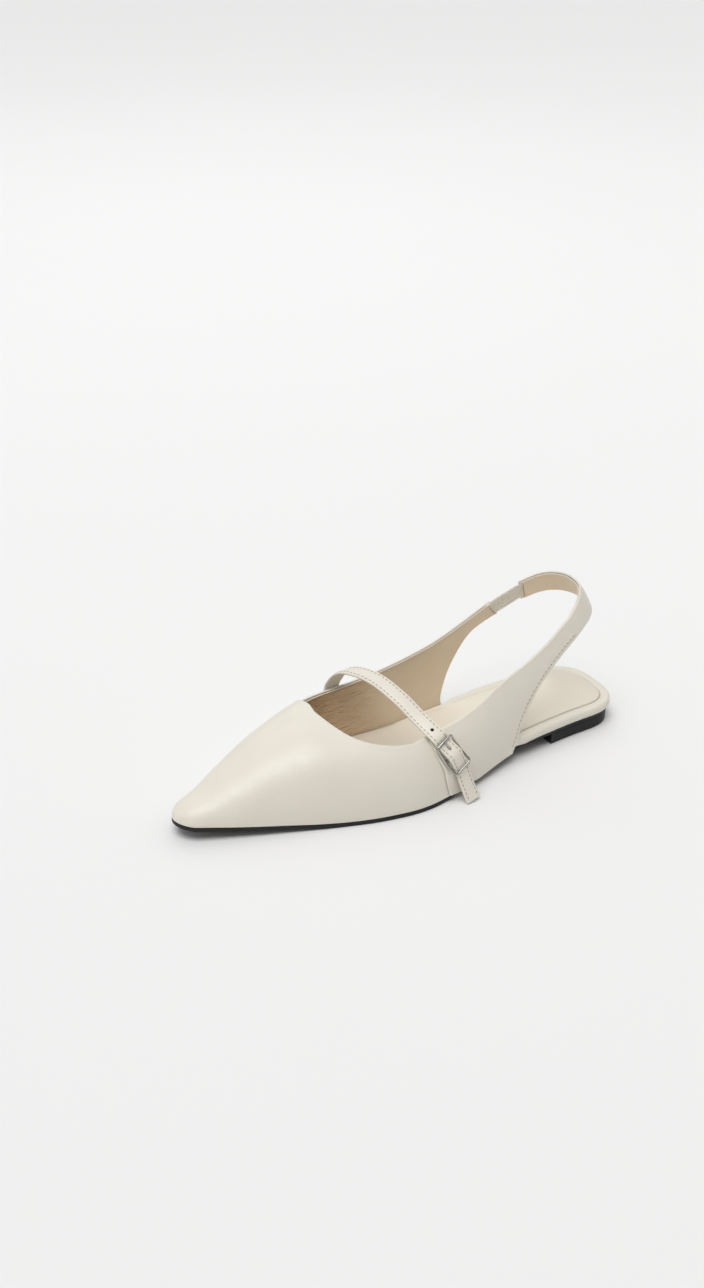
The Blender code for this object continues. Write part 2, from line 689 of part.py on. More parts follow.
def smooth_path(points, steps):
    """More points along a smooth curve through the given ones."""
    ends = [2 * points[0] - points[1]] + list(points) + [2 * points[-1] - points[-2]]
    path = []
    for i in range(1, len(ends) - 2):
        before, start, end, after = ends[i - 1:i + 3]
        for step in range(steps):
            t = step / steps
            bend = 2 * before - 5 * start + 4 * end - after
            turn = 3 * start - before - 3 * end + after
            path.append(0.5 * (2 * start + (end - before) * t + bend * t * t + turn * t ** 3))
    return path + [points[-1]]


def sweep(name, path, sides, section, flares=None):
    """A mesh of a section carried along a path, its first direction kept near the given sides.

    The flares, one for each point, are how much wider the section grows on its positive side.
    """
    points = []
    loops = []
    for i, centre in enumerate(path):
        tangent = (path[min(i + 1, len(path) - 1)] - path[max(i - 1, 0)]).normalized()
        side = (sides[i] - tangent * sides[i].dot(tangent)).normalized()
        lift = side.cross(tangent)
        flare = flares[i] if flares else 0.0
        first = len(points)
        points.extend(centre + side * (u + flare if u > 0 else u) + lift * v for u, v in section)
        loops.append(list(range(first, first + len(section))))
    faces = [loops[0], loops[-1]]
    for first, second in zip(loops, loops[1:]):
        faces.extend(bridge(first, second, closed=True))
    return mesh_from(name, points, faces)


def strip_section(width, thickness):
    """A flat strip with its edges broken."""
    half, top, cut = width / 2, thickness / 2, STRAP_EDGE
    corners = [(half - cut, top), (half, top - cut), (half, cut - top), (half - cut, -top)]
    return corners + [(-u, -v) for u, v in corners]


def round_section(radius):
    turns = [2 * math.pi * step / TUBE_SIDES for step in range(TUBE_SIDES)]
    return [(radius * math.cos(turn), radius * math.sin(turn)) for turn in turns]


class BuckleFrame:
    """Directions at the buckle: along the strap, along the bars, and out from the shoe."""

    def __init__(self):
        self.reach = BUCKLE_AT * LENGTH
        self.origin = on_last(self.reach, BUCKLE_UP)
        self.out = outward(self.reach, BUCKLE_UP)
        above = on_last(self.reach + BUCKLE_LEAN * STRAP_WIDTH, BUCKLE_UP + STRAP_WIDTH)
        below = on_last(self.reach - BUCKLE_LEAN * STRAP_WIDTH, BUCKLE_UP - STRAP_WIDTH)
        rise = above - below
        self.up = (rise - self.out * rise.dot(self.out)).normalized()
        self.bar = self.up.cross(self.out)
        if self.bar.y > 0:
            self.bar.negate()
        self.loop = BAR_RADIUS + GAP + TAB_THICKNESS / 2
        self.ring = BAR_RADIUS + GAP + PRONG_RADIUS
        self.bar_out = GAP + TAB_THICKNESS / 2 + self.loop
        self.end_up = BUCKLE_LENGTH / 2 - BAR_RADIUS
        self.end_out = self.bar_out + BUCKLE_ARCH
        self.under = self.end_out - BAR_RADIUS - 1.5 * GAP - STRAP_THICKNESS / 2
        self.over = self.bar_out + self.ring + PRONG_RADIUS + 2 * GAP + STRAP_THICKNESS / 2

    def at(self, up, out, bar=0.0):
        return self.origin + self.up * up + self.out * out + self.bar * bar


def strap_path(buckle):
    """The instep strap's middle: up the inner side, over the instep, through the buckle, and its tail."""
    lift = GAP + STRAP_THICKNESS / 2
    reach = -STRAP_MEDIAL_AT * LENGTH
    foot = feather_height(STRAP_MEDIAL_AT * LENGTH) + GAP
    top = STRAP_LEAVES * TOPLINE_HEIGHT
    points = [on_last(reach, foot + (top - foot) * i / (WALL_KNOTS - 1), lift) for i in range(WALL_KNOTS)]
    start = points[-1]
    end = buckle.at(buckle.end_up + STRAP_LANDS * STRAP_WIDTH, buckle.under)
    for arch in STRAP_ARCH:
        point = start + (end - start) * arch.across
        point.z += STRAP_RISE * arch.rise
        points.append(point)
    points.append(end)
    for share in (1.0, 0.5, 0.0, -0.5, -1.0):
        out = buckle.over + (buckle.under - buckle.over) * abs(share)
        points.append(buckle.at(buckle.end_up * share, out))
    hang = (-buckle.up).lerp(Vector((0, 0, -1)), TAIL_HANG).normalized()
    last = points[-1]
    for share in TAIL_SHARES:
        points.append(last + hang * TAIL_LENGTH * share + buckle.out * TAIL_CURL * share ** 2)
    return points


def prong_path(buckle):
    """The prong's middle: round the centre bar, then out to rest on the end bar."""
    points = []
    for step in range(TURN_STEPS + 1):
        turn = math.radians(CURL_START + CURL_TURN * step / TURN_STEPS)
        points.append(buckle.at(buckle.ring * math.cos(turn), buckle.bar_out + buckle.ring * math.sin(turn)))
    tip = buckle.at(buckle.end_up + 2 * BAR_RADIUS, buckle.end_out + buckle.ring)
    for share in (0.25, 0.5, 0.75, 1.0):
        points.append(points[TURN_STEPS] + (tip - points[TURN_STEPS]) * share)
    return points


def cutter(name, mesh):
    """A hidden shape that is cut from a sub-part or joined to it."""
    shape = bpy.data.objects.new(name, mesh)
    bpy.context.scene.collection.objects.link(shape)
    shape.hide_render = True
    shape.display_type = "WIRE"
    return shape


def cut(part, shape, operation="DIFFERENCE"):
    step = part.modifiers.new(shape.name, "BOOLEAN")
    step.operation = operation
    step.solver = "EXACT"
    step.object = shape


def join(part, shape):
    cut(part, shape, "UNION")


def make_instep_strap(buckle):
    path = smooth_path(strap_path(buckle), STRAP_STEPS)
    start = forward(-STRAP_MEDIAL_AT * LENGTH, TOPLINE_HEIGHT / 2)
    sides = []
    for i in range(len(path)):
        share = min(1.0, max(0.0, (i / STRAP_STEPS - WALL_KNOTS + 1) / (len(STRAP_ARCH) + 1)))
        sides.append(start.lerp(buckle.bar, share))
    mesh = sweep("instep_strap", path, sides, strip_section(STRAP_WIDTH, STRAP_THICKNESS))
    strap = finish("instep_strap", mesh, LEATHER)
    shank = prong_path(buckle)[TURN_STEPS:]
    slot = sweep("prong_hole", [shank[0], shank[-2]], [buckle.bar] * 2, round_section(PRONG_RADIUS + 1.2 * GAP))
    cut(strap, cutter("prong_hole", slot))
    i = (WALL_KNOTS + len(STRAP_ARCH) + 1) * STRAP_STEPS
    gone = 0.0
    while gone < HOLE_STEP:
        gone += (path[i] - path[i - 1]).length
        i -= 1
    spare = path[i].lerp(path[i + 1], (gone - HOLE_STEP) / (path[i + 1] - path[i]).length)
    normal = (path[i + 1] - path[i]).cross(buckle.bar).normalized()
    pin = [spare - normal * STRAP_WIDTH / 2, spare + normal * STRAP_WIDTH / 2]
    cut(strap, cutter("spare_hole", sweep("spare_hole", pin, [buckle.bar] * 2, round_section(HOLE_RADIUS))))


def tab_spot(height, lift):
    """A point of the tab against the upper: up from the feather edge, then leaning with the buckle."""
    foot = TAB_AT * LENGTH
    low = feather_height(foot) + GAP
    knee = BUCKLE_UP - TAB_RETURN - 2 * TAB_THICKNESS
    reach = BUCKLE_AT * LENGTH + BUCKLE_LEAN * (max(height, knee) - BUCKLE_UP)
    share = min(1.0, (height - low) / (knee - low))
    return on_last(foot + (reach - foot) * share, height, lift)


def tab_base():
    """The tab's wide layer against the upper: its middle, the directions across it, and its flares."""
    low = feather_height(TAB_AT * LENGTH) + GAP
    points, sides, flares = [], [], []
    for step in range(TAB_STEPS + 1):
        share = step / TAB_STEPS
        height = low + (TAB_TOP * TOPLINE_HEIGHT - low) * share
        point = tab_spot(height, GAP + TAB_THICKNESS / 2)
        points.append(point)
        sides.append(forward(HEEL_LENGTH / 2 - point.y, height))
        flares.append(TAB_FLARE * math.sin(math.pi * TAB_FLARE_SPAN * share))
    return points, sides, flares


def tab_loop(buckle):
    """The middle of the tab's loop: off its base, round the centre bar, and back down."""
    lift = GAP + TAB_THICKNESS / 2 + TAB_PROUD
    low = buckle.at(-TAB_RETURN - 2 * TAB_THICKNESS, lift).z
    points = [tab_spot(low, lift), buckle.at(-TAB_RETURN, lift)]
    for step in range(TURN_STEPS + 1):
        turn = math.radians(-90 + 180 * step / TURN_STEPS)
        points.append(buckle.at(buckle.loop * math.cos(turn), buckle.bar_out + buckle.loop * math.sin(turn)))
    for end in TAB_ENDS:
        points.append(buckle.at(-end.down * TAB_RETURN, buckle.bar_out + end.out * buckle.loop))
    points.append(buckle.at(-TAB_RETURN, lift + TAB_THICKNESS + 1.2 * GAP))
    return points


def make_tab(buckle):
    """The short strap that holds the buckle: a wide layer up to the topline, and a loop round the centre bar."""
    section = strip_section(TAB_WIDTH, TAB_THICKNESS)
    loop = tab_loop(buckle)
    tab = finish("buckle_tab", sweep("buckle_tab", loop, [buckle.bar] * len(loop), section), LEATHER)
    points, sides, flares = tab_base()
    join(tab, cutter("tab_base", sweep("tab_base", points, sides, section, flares)))
    reach = buckle.ring + PRONG_RADIUS + 2 * GAP
    width = PRONG_RADIUS + GAP
    ends = [buckle.at(-reach, buckle.bar_out), buckle.at(reach, buckle.bar_out)]
    square = [(-width, -2 * reach), (width, -2 * reach), (width, 2 * reach), (-width, 2 * reach)]
    cut(tab, cutter("prong_slot", sweep("prong_slot", ends, [buckle.bar] * 2, square)))


def make_buckle(buckle):
    """The frame, arched along the strap, with its centre bar."""
    half_bar = BUCKLE_WIDTH / 2 - BAR_RADIUS
    loop = []
    for quarter in range(4):
        middle_up = (buckle.end_up - BUCKLE_CORNER) * (1 if quarter in (0, 3) else -1)
        middle_bar = (half_bar - BUCKLE_CORNER) * (1 if quarter in (0, 1) else -1)
        for step in range(CORNER_STEPS + 1):
            turn = math.pi / 2 * (quarter + step / CORNER_STEPS)
            up, bar = BUCKLE_CORNER * math.cos(turn), BUCKLE_CORNER * math.sin(turn)
            loop.append((middle_up + up, middle_bar + bar))
        if quarter in (0, 2):
            for step in range(1, SIDE_BAR_STEPS):
                up = middle_up * (1 - 2 * step / SIDE_BAR_STEPS)
                loop.append((up, math.copysign(half_bar, middle_bar)))
    centres = []
    for up, bar in loop:
        centres.append(buckle.at(up, buckle.bar_out + BUCKLE_ARCH * (up / buckle.end_up) ** 2, bar))
    section = round_section(BAR_RADIUS)
    points = []
    loops = []
    for i, centre in enumerate(centres):
        tangent = (centres[(i + 1) % len(centres)] - centres[i - 1]).normalized()
        side = (buckle.out - tangent * buckle.out.dot(tangent)).normalized()
        across = side.cross(tangent)
        first = len(points)
        points.extend(centre + side * u + across * v for u, v in section)
        loops.append(list(range(first, first + len(section))))
    faces = []
    for i, row in enumerate(loops):
        faces.extend(bridge(row, loops[(i + 1) % len(loops)], closed=True))
    frame = finish("buckle_frame", mesh_from("buckle_frame", points, faces), BUCKLE_METAL)
    ends = [buckle.at(0, buckle.bar_out, -half_bar), buckle.at(0, buckle.bar_out, half_bar)]
    join(frame, cutter("centre_bar", sweep("centre_bar", ends, [buckle.out] * 2, round_section(BAR_RADIUS))))


def make_prong(buckle):
    path = prong_path(buckle)
    mesh = sweep("buckle_prong", path, [buckle.bar] * len(path), round_section(PRONG_RADIUS))
    finish("buckle_prong", mesh, BUCKLE_METAL)


def main():
    for old in list(bpy.data.objects):
        bpy.data.objects.remove(old)
    make_upper()
    make_outsole()
    make_heel_block()
    make_footbed()
    make_sock()
    make_elastic()
    buckle = BuckleFrame()
    make_instep_strap(buckle)
    make_tab(buckle)
    make_buckle(buckle)
    make_prong(buckle)
    shoe = bpy.data.objects.new("left_flat", None)
    parts = list(bpy.data.objects)
    bpy.context.scene.collection.objects.link(shoe)
    for part in parts:
        if part is not shoe:
            part.parent = shoe


main()
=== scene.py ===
"""Looks of the left pointed-toe flat: leather, lining, stitching, elastic, buckle, camera and light.

Metres, +Z up, the toe towards -Y and the outer side of the foot towards +X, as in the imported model. Along
the shoe a place is its distance from the back of the heel, and round it a signed reach: that distance,
positive on the outer side. The last is the same surface as in the model, drawn here with finer steps.
"""
import math
from bisect import bisect_right
from collections import namedtuple
from itertools import product

import bmesh
import bpy
from mathutils import Matrix, Vector, kdtree


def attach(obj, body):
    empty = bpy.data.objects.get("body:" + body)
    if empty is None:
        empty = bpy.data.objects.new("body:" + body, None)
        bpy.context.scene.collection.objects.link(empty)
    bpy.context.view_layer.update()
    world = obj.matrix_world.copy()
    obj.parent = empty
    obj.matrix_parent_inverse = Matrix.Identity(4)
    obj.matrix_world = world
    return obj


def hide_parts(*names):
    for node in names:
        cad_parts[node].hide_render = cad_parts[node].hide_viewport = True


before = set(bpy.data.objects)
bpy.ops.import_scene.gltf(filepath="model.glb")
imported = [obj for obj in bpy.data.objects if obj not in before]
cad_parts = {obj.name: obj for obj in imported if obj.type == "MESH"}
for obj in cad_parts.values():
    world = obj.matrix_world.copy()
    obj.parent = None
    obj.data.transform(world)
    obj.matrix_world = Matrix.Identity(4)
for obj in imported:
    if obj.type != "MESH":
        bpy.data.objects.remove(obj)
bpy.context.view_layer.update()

# Overall sizes
LENGTH = 0.268
BALL_WIDTH = 0.078
WAIST_WIDTH = 0.058
HEEL_WIDTH = 0.053
TOE_TIP = 0.0156
TOE_CAP = 0.0075
NOSE_CAP = 0.0120
NOSE_INSET = 0.0012
HEEL_FAN = 0.040
HEEL_TURN = 0.026
HEEL_SQUARE = 2.8
STRAP_TURN = 0.047
STRAP_SQUARE = 2.2

# Heights
VAMP_RISE = 0.0435
TOE_RISE = 0.0084
ANKLE_RISE = 0.0900
TOPLINE_HEIGHT = 0.0380
SLING_HEIGHT = 0.0780
BACK_LEAN = 0.0100
LEAN_CURVE = 0.4
CROWN_SHIFT = 0.0080

# Sole and heel
SOLE_THICKNESS = 0.0024
SOLE_EDGE = 0.0005
HEEL_HEIGHT = 0.0068
HEEL_LENGTH = 0.052
HEEL_INSET = 0.0003
HEEL_EDGE = 0.0006
TOE_SPRING = 0.0070
WAIST_INSET = 0.0030
WAIST_DROP = 0.0016

# Footbed and sock
RIM_HEIGHT = 0.0048
RIM_WIDTH = 0.0056
RIM_ROUND = 0.0014
BOARD_THICKNESS = 0.0026
SOCK_MARGIN = 0.0012
SOCK_THICKNESS = 0.0014
SOCK_DEPTH = 0.0010
SOCK_CROWN = 0.0006

# Leather and elastic
WALL = 0.0016
GAP = 0.0003
ELASTIC_WIDTH = 0.0114
ELASTIC_THICKNESS = 0.0012
STRAP_WIDTH = 0.0090
STRAP_THICKNESS = 0.0014
STRAP_RISE = 0.0158
STRAP_LEAVES = 1.10
TAB_WIDTH = 0.0084
TAB_THICKNESS = 0.0009
TAB_RETURN = 0.0038
TAB_FLARE = 0.0044
TAB_FLARE_SPAN = 0.96
TAB_TOP = 0.93
TAB_PROUD = 0.0003
TAIL_LENGTH = 0.0200
TAIL_CURL = 0.0028
TAIL_HANG = 0.55

# Buckle
BAR_RADIUS = 0.00065
BUCKLE_LENGTH = 0.0198
BUCKLE_WIDTH = 0.0128
BUCKLE_CORNER = 0.0015
BUCKLE_ARCH = 0.0015
PRONG_RADIUS = 0.0005
HOLE_RADIUS = 0.0010
HOLE_STEP = 0.0084

# Where things sit, as shares of the length
CUT_LATERAL = 0.300
CUT_MEDIAL = 0.330
TUCK_LATERAL = 0.284
TUCK_MEDIAL = 0.328
THROAT_LATERAL = 0.545
THROAT_MEDIAL = 0.686
STRAP_MEDIAL_AT = 0.590
BUCKLE_AT = 0.477
BUCKLE_UP = 0.0264
BUCKLE_LEAN = 0.58
TAB_AT = 0.470

# One row for each section of the last: its place as a share of the length, a width and the shares of it that
# the outer and inner halves have at the feather edge, a height and the shares of it that their crowns have
# over that edge, the crown's shift to the inner side, and how square each half is
Section = namedtuple("Section", "at lateral medial lateral_crown medial_crown shift lateral_full medial_full")
SECTIONS = tuple(
    Section(at, outer * width, inner * width, high * crown, inner_high * crown, shift, full, inner_full)
    for at, width, outer, inner, crown, high, inner_high, shift, full, inner_full in (
        (0.000, HEEL_WIDTH, 0.480, 0.500, ANKLE_RISE, 1.00, 1.00, 0.00, 2.8, 2.8),
        (0.105, HEEL_WIDTH, 0.490, 0.500, ANKLE_RISE, 1.00, 1.00, 0.00, 2.7, 2.8),
        (0.200, HEEL_WIDTH, 0.530, 0.510, ANKLE_RISE, 0.90, 0.92, 0.05, 2.6, 3.1),
        (0.300, WAIST_WIDTH, 0.548, 0.452, ANKLE_RISE, 0.74, 0.86, 0.35, 2.6, 3.3),
        (0.410, BALL_WIDTH, 0.513, 0.356, VAMP_RISE, 1.14, 1.56, 0.75, 2.6, 3.4),
        (0.480, BALL_WIDTH, 0.567, 0.379, VAMP_RISE, 1.01, 1.44, 0.95, 2.6, 3.3),
        (0.550, BALL_WIDTH, 0.590, 0.400, VAMP_RISE, 0.98, 1.30, 1.00, 2.65, 3.2),
        (0.620, BALL_WIDTH, 0.559, 0.413, VAMP_RISE, 0.99, 1.14, 1.00, 2.70, 3.2),
        (0.710, BALL_WIDTH, 0.472, 0.392, VAMP_RISE, 0.97, 0.97, 0.90, 2.65, 3.0),
        (0.800, BALL_WIDTH, 0.367, 0.326, VAMP_RISE, 0.78, 0.78, 0.62, 2.50, 2.6),
        (0.890, BALL_WIDTH, 0.256, 0.231, VAMP_RISE, 0.47, 0.47, 0.30, 2.35, 2.4),
        (0.955, BALL_WIDTH, 0.169, 0.148, TOE_RISE, 1.22, 1.20, 0.10, 2.25, 2.15),
        (1.000, TOE_TIP, 0.540, 0.460, TOE_RISE, 0.86, 0.84, 0.00, 2.20, 2.10),
    ))

# The underside of the sole, how far its edge is set in, how far the upper drops over that edge, and how
# much of the footbed's rim stands up. The last three are shares of the waist's inset and drop and the rim
Profile = namedtuple("Profile", "at under inset drop rim")
PROFILE = (
    Profile(0.000, 1.00 * HEEL_HEIGHT, 0.5, 0.0, 1.0),
    Profile(0.200, 1.00 * HEEL_HEIGHT, 0.5, 0.0, 1.0),
    Profile(0.250, 0.96 * HEEL_HEIGHT, 0.7, 0.0, 1.0),
    Profile(0.290, 0.87 * HEEL_HEIGHT, 1.0, 1.0, 1.0),
    Profile(0.400, 0.48 * HEEL_HEIGHT, 1.0, 1.0, 0.6),
    Profile(0.440, 0.26 * HEEL_HEIGHT, 0.65, 0.0, 0.4),
    Profile(0.470, 0.14 * HEEL_HEIGHT, 0.25, 0.0, 0.2),
    Profile(0.530, 0.0, 0.0, 0.0, 0.0),
    Profile(0.680, 0.0, 0.0, 0.0, 0.0),
    Profile(0.740, 0.10 * TOE_SPRING, 0.0, 0.0, 0.0),
    Profile(0.810, 0.33 * TOE_SPRING, 0.0, 0.0, 0.0),
    Profile(0.890, 0.59 * TOE_SPRING, 0.0, 0.0, 0.0),
    Profile(1.000, 1.00 * TOE_SPRING, 0.0, 0.0, 0.0),
)

# The edges of the upper behind the throat. Each row is one rib across the leather: the reach and height of
# its lower end and of its upper end, as shares of the length and of a height. A lower height of None is the
# feather edge
Rib = namedtuple("Rib", "low_at low_z high_at high_z")


def sized_ribs(height, *ribs):
    """Ribs in metres, their upper ends measured by this height."""
    sized = []
    for low_at, low, high_at, high in ribs:
        low_z = None if low is None else low * SLING_HEIGHT
        sized.append(Rib(low_at * LENGTH, low_z, high_at * LENGTH, high * height))
    return sized


LATERAL_RIBS = sized_ribs(
    TOPLINE_HEIGHT,
    (0.560, None, THROAT_LATERAL, 0.935),
    (0.480, None, 0.490, 0.980),
    (0.390, None, 0.430, 1.058),
) + sized_ribs(
    SLING_HEIGHT,
    (CUT_LATERAL, None, 0.378, 0.568),
    (0.288, 0.180, 0.345, 0.620),
    (0.276, 0.300, 0.312, 0.665),
    (0.252, 0.440, 0.276, 0.713),
    (0.222, 0.562, 0.242, 0.765),
    (0.182, 0.680, 0.202, 0.838),
    (0.142, 0.782, 0.160, 0.935),
    (0.104, 0.860, 0.116, 1.030),
    (0.055, 0.905, 0.062, 1.092),
    (0.000, 0.920, 0.000, 1.104),
    (-0.055, 0.912, -0.060, 1.092),
    (-0.105, 0.888, -0.113, 1.068),
    (-0.150, 0.848, -0.168, 1.022),
)
MEDIAL_RIBS = sized_ribs(
    TOPLINE_HEIGHT,
    (-0.686, None, -THROAT_MEDIAL, 1.045),
    (-0.590, None, -0.600, 1.055),
    (-0.500, None, -0.515, 1.115),
    (-0.410, None, -0.450, 1.215),
    (-CUT_MEDIAL, None, -0.402, 1.318),
) + sized_ribs(
    SLING_HEIGHT,
    (-0.338, 0.190, -0.378, 0.668),
    (-0.329, 0.350, -0.355, 0.700),
    (-0.305, 0.540, -0.325, 0.750),
    (-0.272, 0.690, -0.290, 0.812),
    (-0.205, 0.790, -0.233, 0.908),
)
STRAP_END = LATERAL_RIBS[-1]
QUARTER_END = MEDIAL_RIBS[-1]

# The instep strap between its two sides: how far across, and how much of its rise it has there
Arch = namedtuple("Arch", "across rise")
STRAP_ARCH = (Arch(0.10, 0.66), Arch(0.25, 0.95), Arch(0.44, 0.98), Arch(0.65, 0.71), Arch(0.82, 0.34))
STRAP_LANDS = 0.45
TAIL_SHARES = (0.3, 0.65, 1.0)

# The tab's end past the centre bar, as shares of its return and of the loop round the bar
TabEnd = namedtuple("TabEnd", "down out")
TAB_ENDS = (TabEnd(0.42, 0.80), TabEnd(0.79, 0.15))

# The prong: where its curl round the centre bar starts and how far it turns, in degrees
CURL_START = -70
CURL_TURN = -200

# How the throat's edge leaves the outer topline, and how soon it turns straight across
THROAT_TURN = 1.7
THROAT_SWEEP = 3.2

# Mesh steps
SMALL_STEP = 0.0005
MERGE = 0.00001
WELD = 0.000002
FEATHER_NEAR = 0.0001
EDGE_STEPS = (0.0, 0.0004, 0.0009, 0.0015, 0.0023, 0.0033, 0.0046)
THROAT_STEPS = 40
LEATHER_ROWS = 7
LEATHER_MIDDLE = 12
LEATHER_VAMP = 44
LINE_STEPS = 6
OUTLINE_STEPS = 90
HEEL_STEPS = 26
STRAP_STEPS = 14
RIBBON_STEPS = 14
ROUND_STEPS = 6
WALL_KNOTS = 5
CORNER_STEPS = 10
SIDE_BAR_STEPS = 12
TURN_STEPS = 20
TAB_STEPS = 40
TAB_LOOP_STEPS = 2
PRONG_STEPS = 3
TUBE_SIDES = 16
PIPING_SIDES = 8
THREAD_SIDES = 6
RIM_STEPS = 5
CORD_STEPS = 6
WEFT_STEPS = 4
HEEL_EDGE_STEPS = 4
SOLE_ROUND_STEPS = 3
RIM_ROUND_STEPS = 8
SOCK_ROUND_STEPS = 4
QUARTERS = (0.25, 0.5, 0.75, 1.0)

# Above these angles, in degrees, a crease stays sharp
SHARP_ANGLE = 60.0
STRAP_SHARP_ANGLE = 50.0

# Leather and lining: how much of the wall is leather, and how their edges are rounded and set back
LEATHER_SHARE = 0.72
LINING_THICKNESS = 0.0005
LINING_GAP = 0.00005
LINING_SET_BACK = 0.0013
EDGE_BULGE = 0.00048

# The topline's rolled edge: its height, where it is highest and how wide, then the dip below it
EDGE_ROLL = 0.00016
EDGE_ROLL_AT = 0.0012
EDGE_ROLL_WIDTH = 0.0009
EDGE_DIP = 0.6
EDGE_DIP_AT = 0.0031
EDGE_DIP_WIDTH = 0.0006

# The folded edge between leather and lining
PIPING_RADIUS = 0.00034
PIPING_DROP = 0.0004
PIPING_GAP = 0.00030

# Stitches. The shape has rows of how far along the stitch and how far off the leather, as shares
THREAD_RADIUS = 0.00023
STITCH_LENGTH = 0.0016
STITCH_PITCH = 0.0025
STITCH_INSET = 0.0015
EDGE_STITCH_INSET = 0.0026
END_STITCH_INSET = 0.0022
END_STITCH_GAP = 0.00006
STITCH_SHAPE = ((0.0, -0.7), (0.12, 0.45), (0.5, 0.7), (0.88, 0.45), (1.0, -0.7))

# Needle holes, drawn as small dark caps of painted shade: their radius, and for each ring its height and size
# as shares of it
HOLE_DOT = 0.00034
DOT_RINGS = ((-0.3, 1.0), (0.12, 0.9))

# The parts of each line of points that are stitched
LATERAL_STITCHES = slice(3, 44)
MEDIAL_STITCHES = slice(3, 40)
END_STITCHES = slice(4, -4)
STRAP_STITCHES = slice(2, -3)

# Elastic
CORD_COUNT = 5
CORD_DEPTH = 0.00050
CORD_ROUND = 1.2
WEFT_PITCH = 0.0011
WEFT_DEPTH = 0.00008
ELASTIC_TUCK = 0.0030

# Rounded edges of the sole and the footbed: how far set in and how far up, as shares of the rounding
SOLE_RINGS = ((1.0, 0.0), (0.3, 0.3), (0.0, 1.0))
FOOTBED_RINGS = ((1.0, 0.0), (0.35, 0.12), (0.08, 0.5), (0.0, 1.0))
RIM_TOP_ROUND = 1.2

# The recess round the sock, and the sock's own edge and the width over which it crowns
RECESS_LIP = 0.0006
RECESS_EDGE = 0.0001
RECESS_EDGE_DEPTH = 0.0004
SOCK_SINK = 0.0003
SOCK_ROUND = 0.0007
SOCK_CROWN_WIDTH = 0.0064

# Floor
FLOOR_SIZE = 30.0
FLOOR_GAP = 0.0001

# The photo's camera, fitted to the shoe: where it stands, how it is turned and how far it sees
CAMERA_AZIMUTH = 59.094
CAMERA_ELEVATION = 29.282
CAMERA_ROLL = 0.641
CAMERA_DISTANCE = 0.999524
CAMERA_TARGET = Vector((-0.09565, -0.080467, 0.020))
PHOTO_HEIGHT = 1288
FOCAL_PIXELS = 1703.079
SENSOR_WIDTH = 36.0

# World: its bright and dim colours, where the bright one is, and how far the change between them reaches
WORLD_BRIGHT = (0.50, 0.50, 0.50)
WORLD_DIM = (0.17, 0.148, 0.128)
WORLD_FROM = (-0.45, -0.10, 0.88)
WORLD_SPREAD = (-0.6, 0.8)

# Lamps: where each stands, seen from the shoe, and how strong and how wide it is
KEY_FROM = (0.22, -0.28, 1.0)
KEY_STRENGTH = 1.62
KEY_ANGLE = 40.0
RIM_FROM = (-0.8, 0.3, 1.0)
RIM_STRENGTH = 3.0
RIM_SIZE = 1.4
LIGHT_DISTANCE = 1.6
LIGHT_TARGET = Vector((0.0, -0.10, 0.02))

# Folds of the lining and the painted shade in its toe corner: where they start as a share of the length, over
# what length they grow, how steep the folds run, how large they are across, along and up, and how deep
FOLDS_FROM = 0.47
FOLDS_SPAN = 0.045
FOLD_SLOPE = 14.0
FOLD_SIZE = (0.020, 0.0085, 0.0019)
FOLD_DEPTH = 0.0016

# Strap: how far down its spare hole goes and how wide the dark disc of painted shade at its bottom is, the
# crown, and how deep and how wide the stitches pull it in
HOLE_FLOOR = 0.10
HOLE_INSIDE = 0.96
STRAP_CROWN = 0.00018
STRAP_SINK = 0.00012
SEAM_WIDTH = 0.0005

# The prong's tip: the shares of its radius at its last points
PRONG_TAPER = (0.97, 0.88, 0.7, 0.4)

# Sizes of the leather's changes of tone and gloss, its pores, its grain and the finest grain
TONE_SIZE = 0.030
GLOSS_SIZE = 0.006
PORE_SIZE = 0.0011
GRAIN_SIZE = 0.0008
FINE_SIZE = 0.0003

# Colours, linear
CREAM = (0.82, 0.785, 0.69)
CREAM_SHADE = (0.75, 0.70, 0.60)
TAN = (0.82, 0.70, 0.53)
TAN_SHADE = (0.66, 0.51, 0.35)
# Painted shade of the lining, in the toe's corner and in the troughs of its folds
TAN_PAINTED_SHADE = (0.68, 0.47, 0.27)
SOCK_BEIGE = (0.82, 0.765, 0.655)
SOCK_SHADE = (0.76, 0.70, 0.59)
SOLE_BLACK = (0.016, 0.016, 0.017)
SOLE_GREY = (0.028, 0.028, 0.030)
ELASTIC_CREAM = (0.88, 0.84, 0.75)
ELASTIC_SHADE = (0.66, 0.61, 0.52)
# Brown thread: its colour darkened with painted shade, as if its stitches lay in shadow
THREAD_BROWN_PAINTED_SHADE = (0.48, 0.39, 0.28)
THREAD_PATCH_PAINTED_SHADE = (0.36, 0.28, 0.19)
THREAD_PALE = (0.74, 0.68, 0.57)
THREAD_PALE_SHADE = (0.60, 0.53, 0.42)
# Painted shade for the needle holes and for the floor of the strap's spare hole
HOLE_PAINTED_SHADE_BROWN = (0.035, 0.028, 0.022)
HOLE_PAINTED_SHADE_DARK = (0.015, 0.012, 0.010)
METAL_SILVER = (0.52, 0.51, 0.48)
METAL_GREY = (0.30, 0.29, 0.27)
FLOOR_WHITE = (0.885, 0.885, 0.885)
FLOOR_SHADE = (0.875, 0.875, 0.875)


def place(x, reach, z):
    """World position of a point given across, from the back of the heel, and up."""
    return Vector((x, HEEL_LENGTH / 2 - reach, z))


def between(low, high, share):
    return low + (high - low) * share


def side_name(side):
    return "lateral" if side > 0 else "medial"


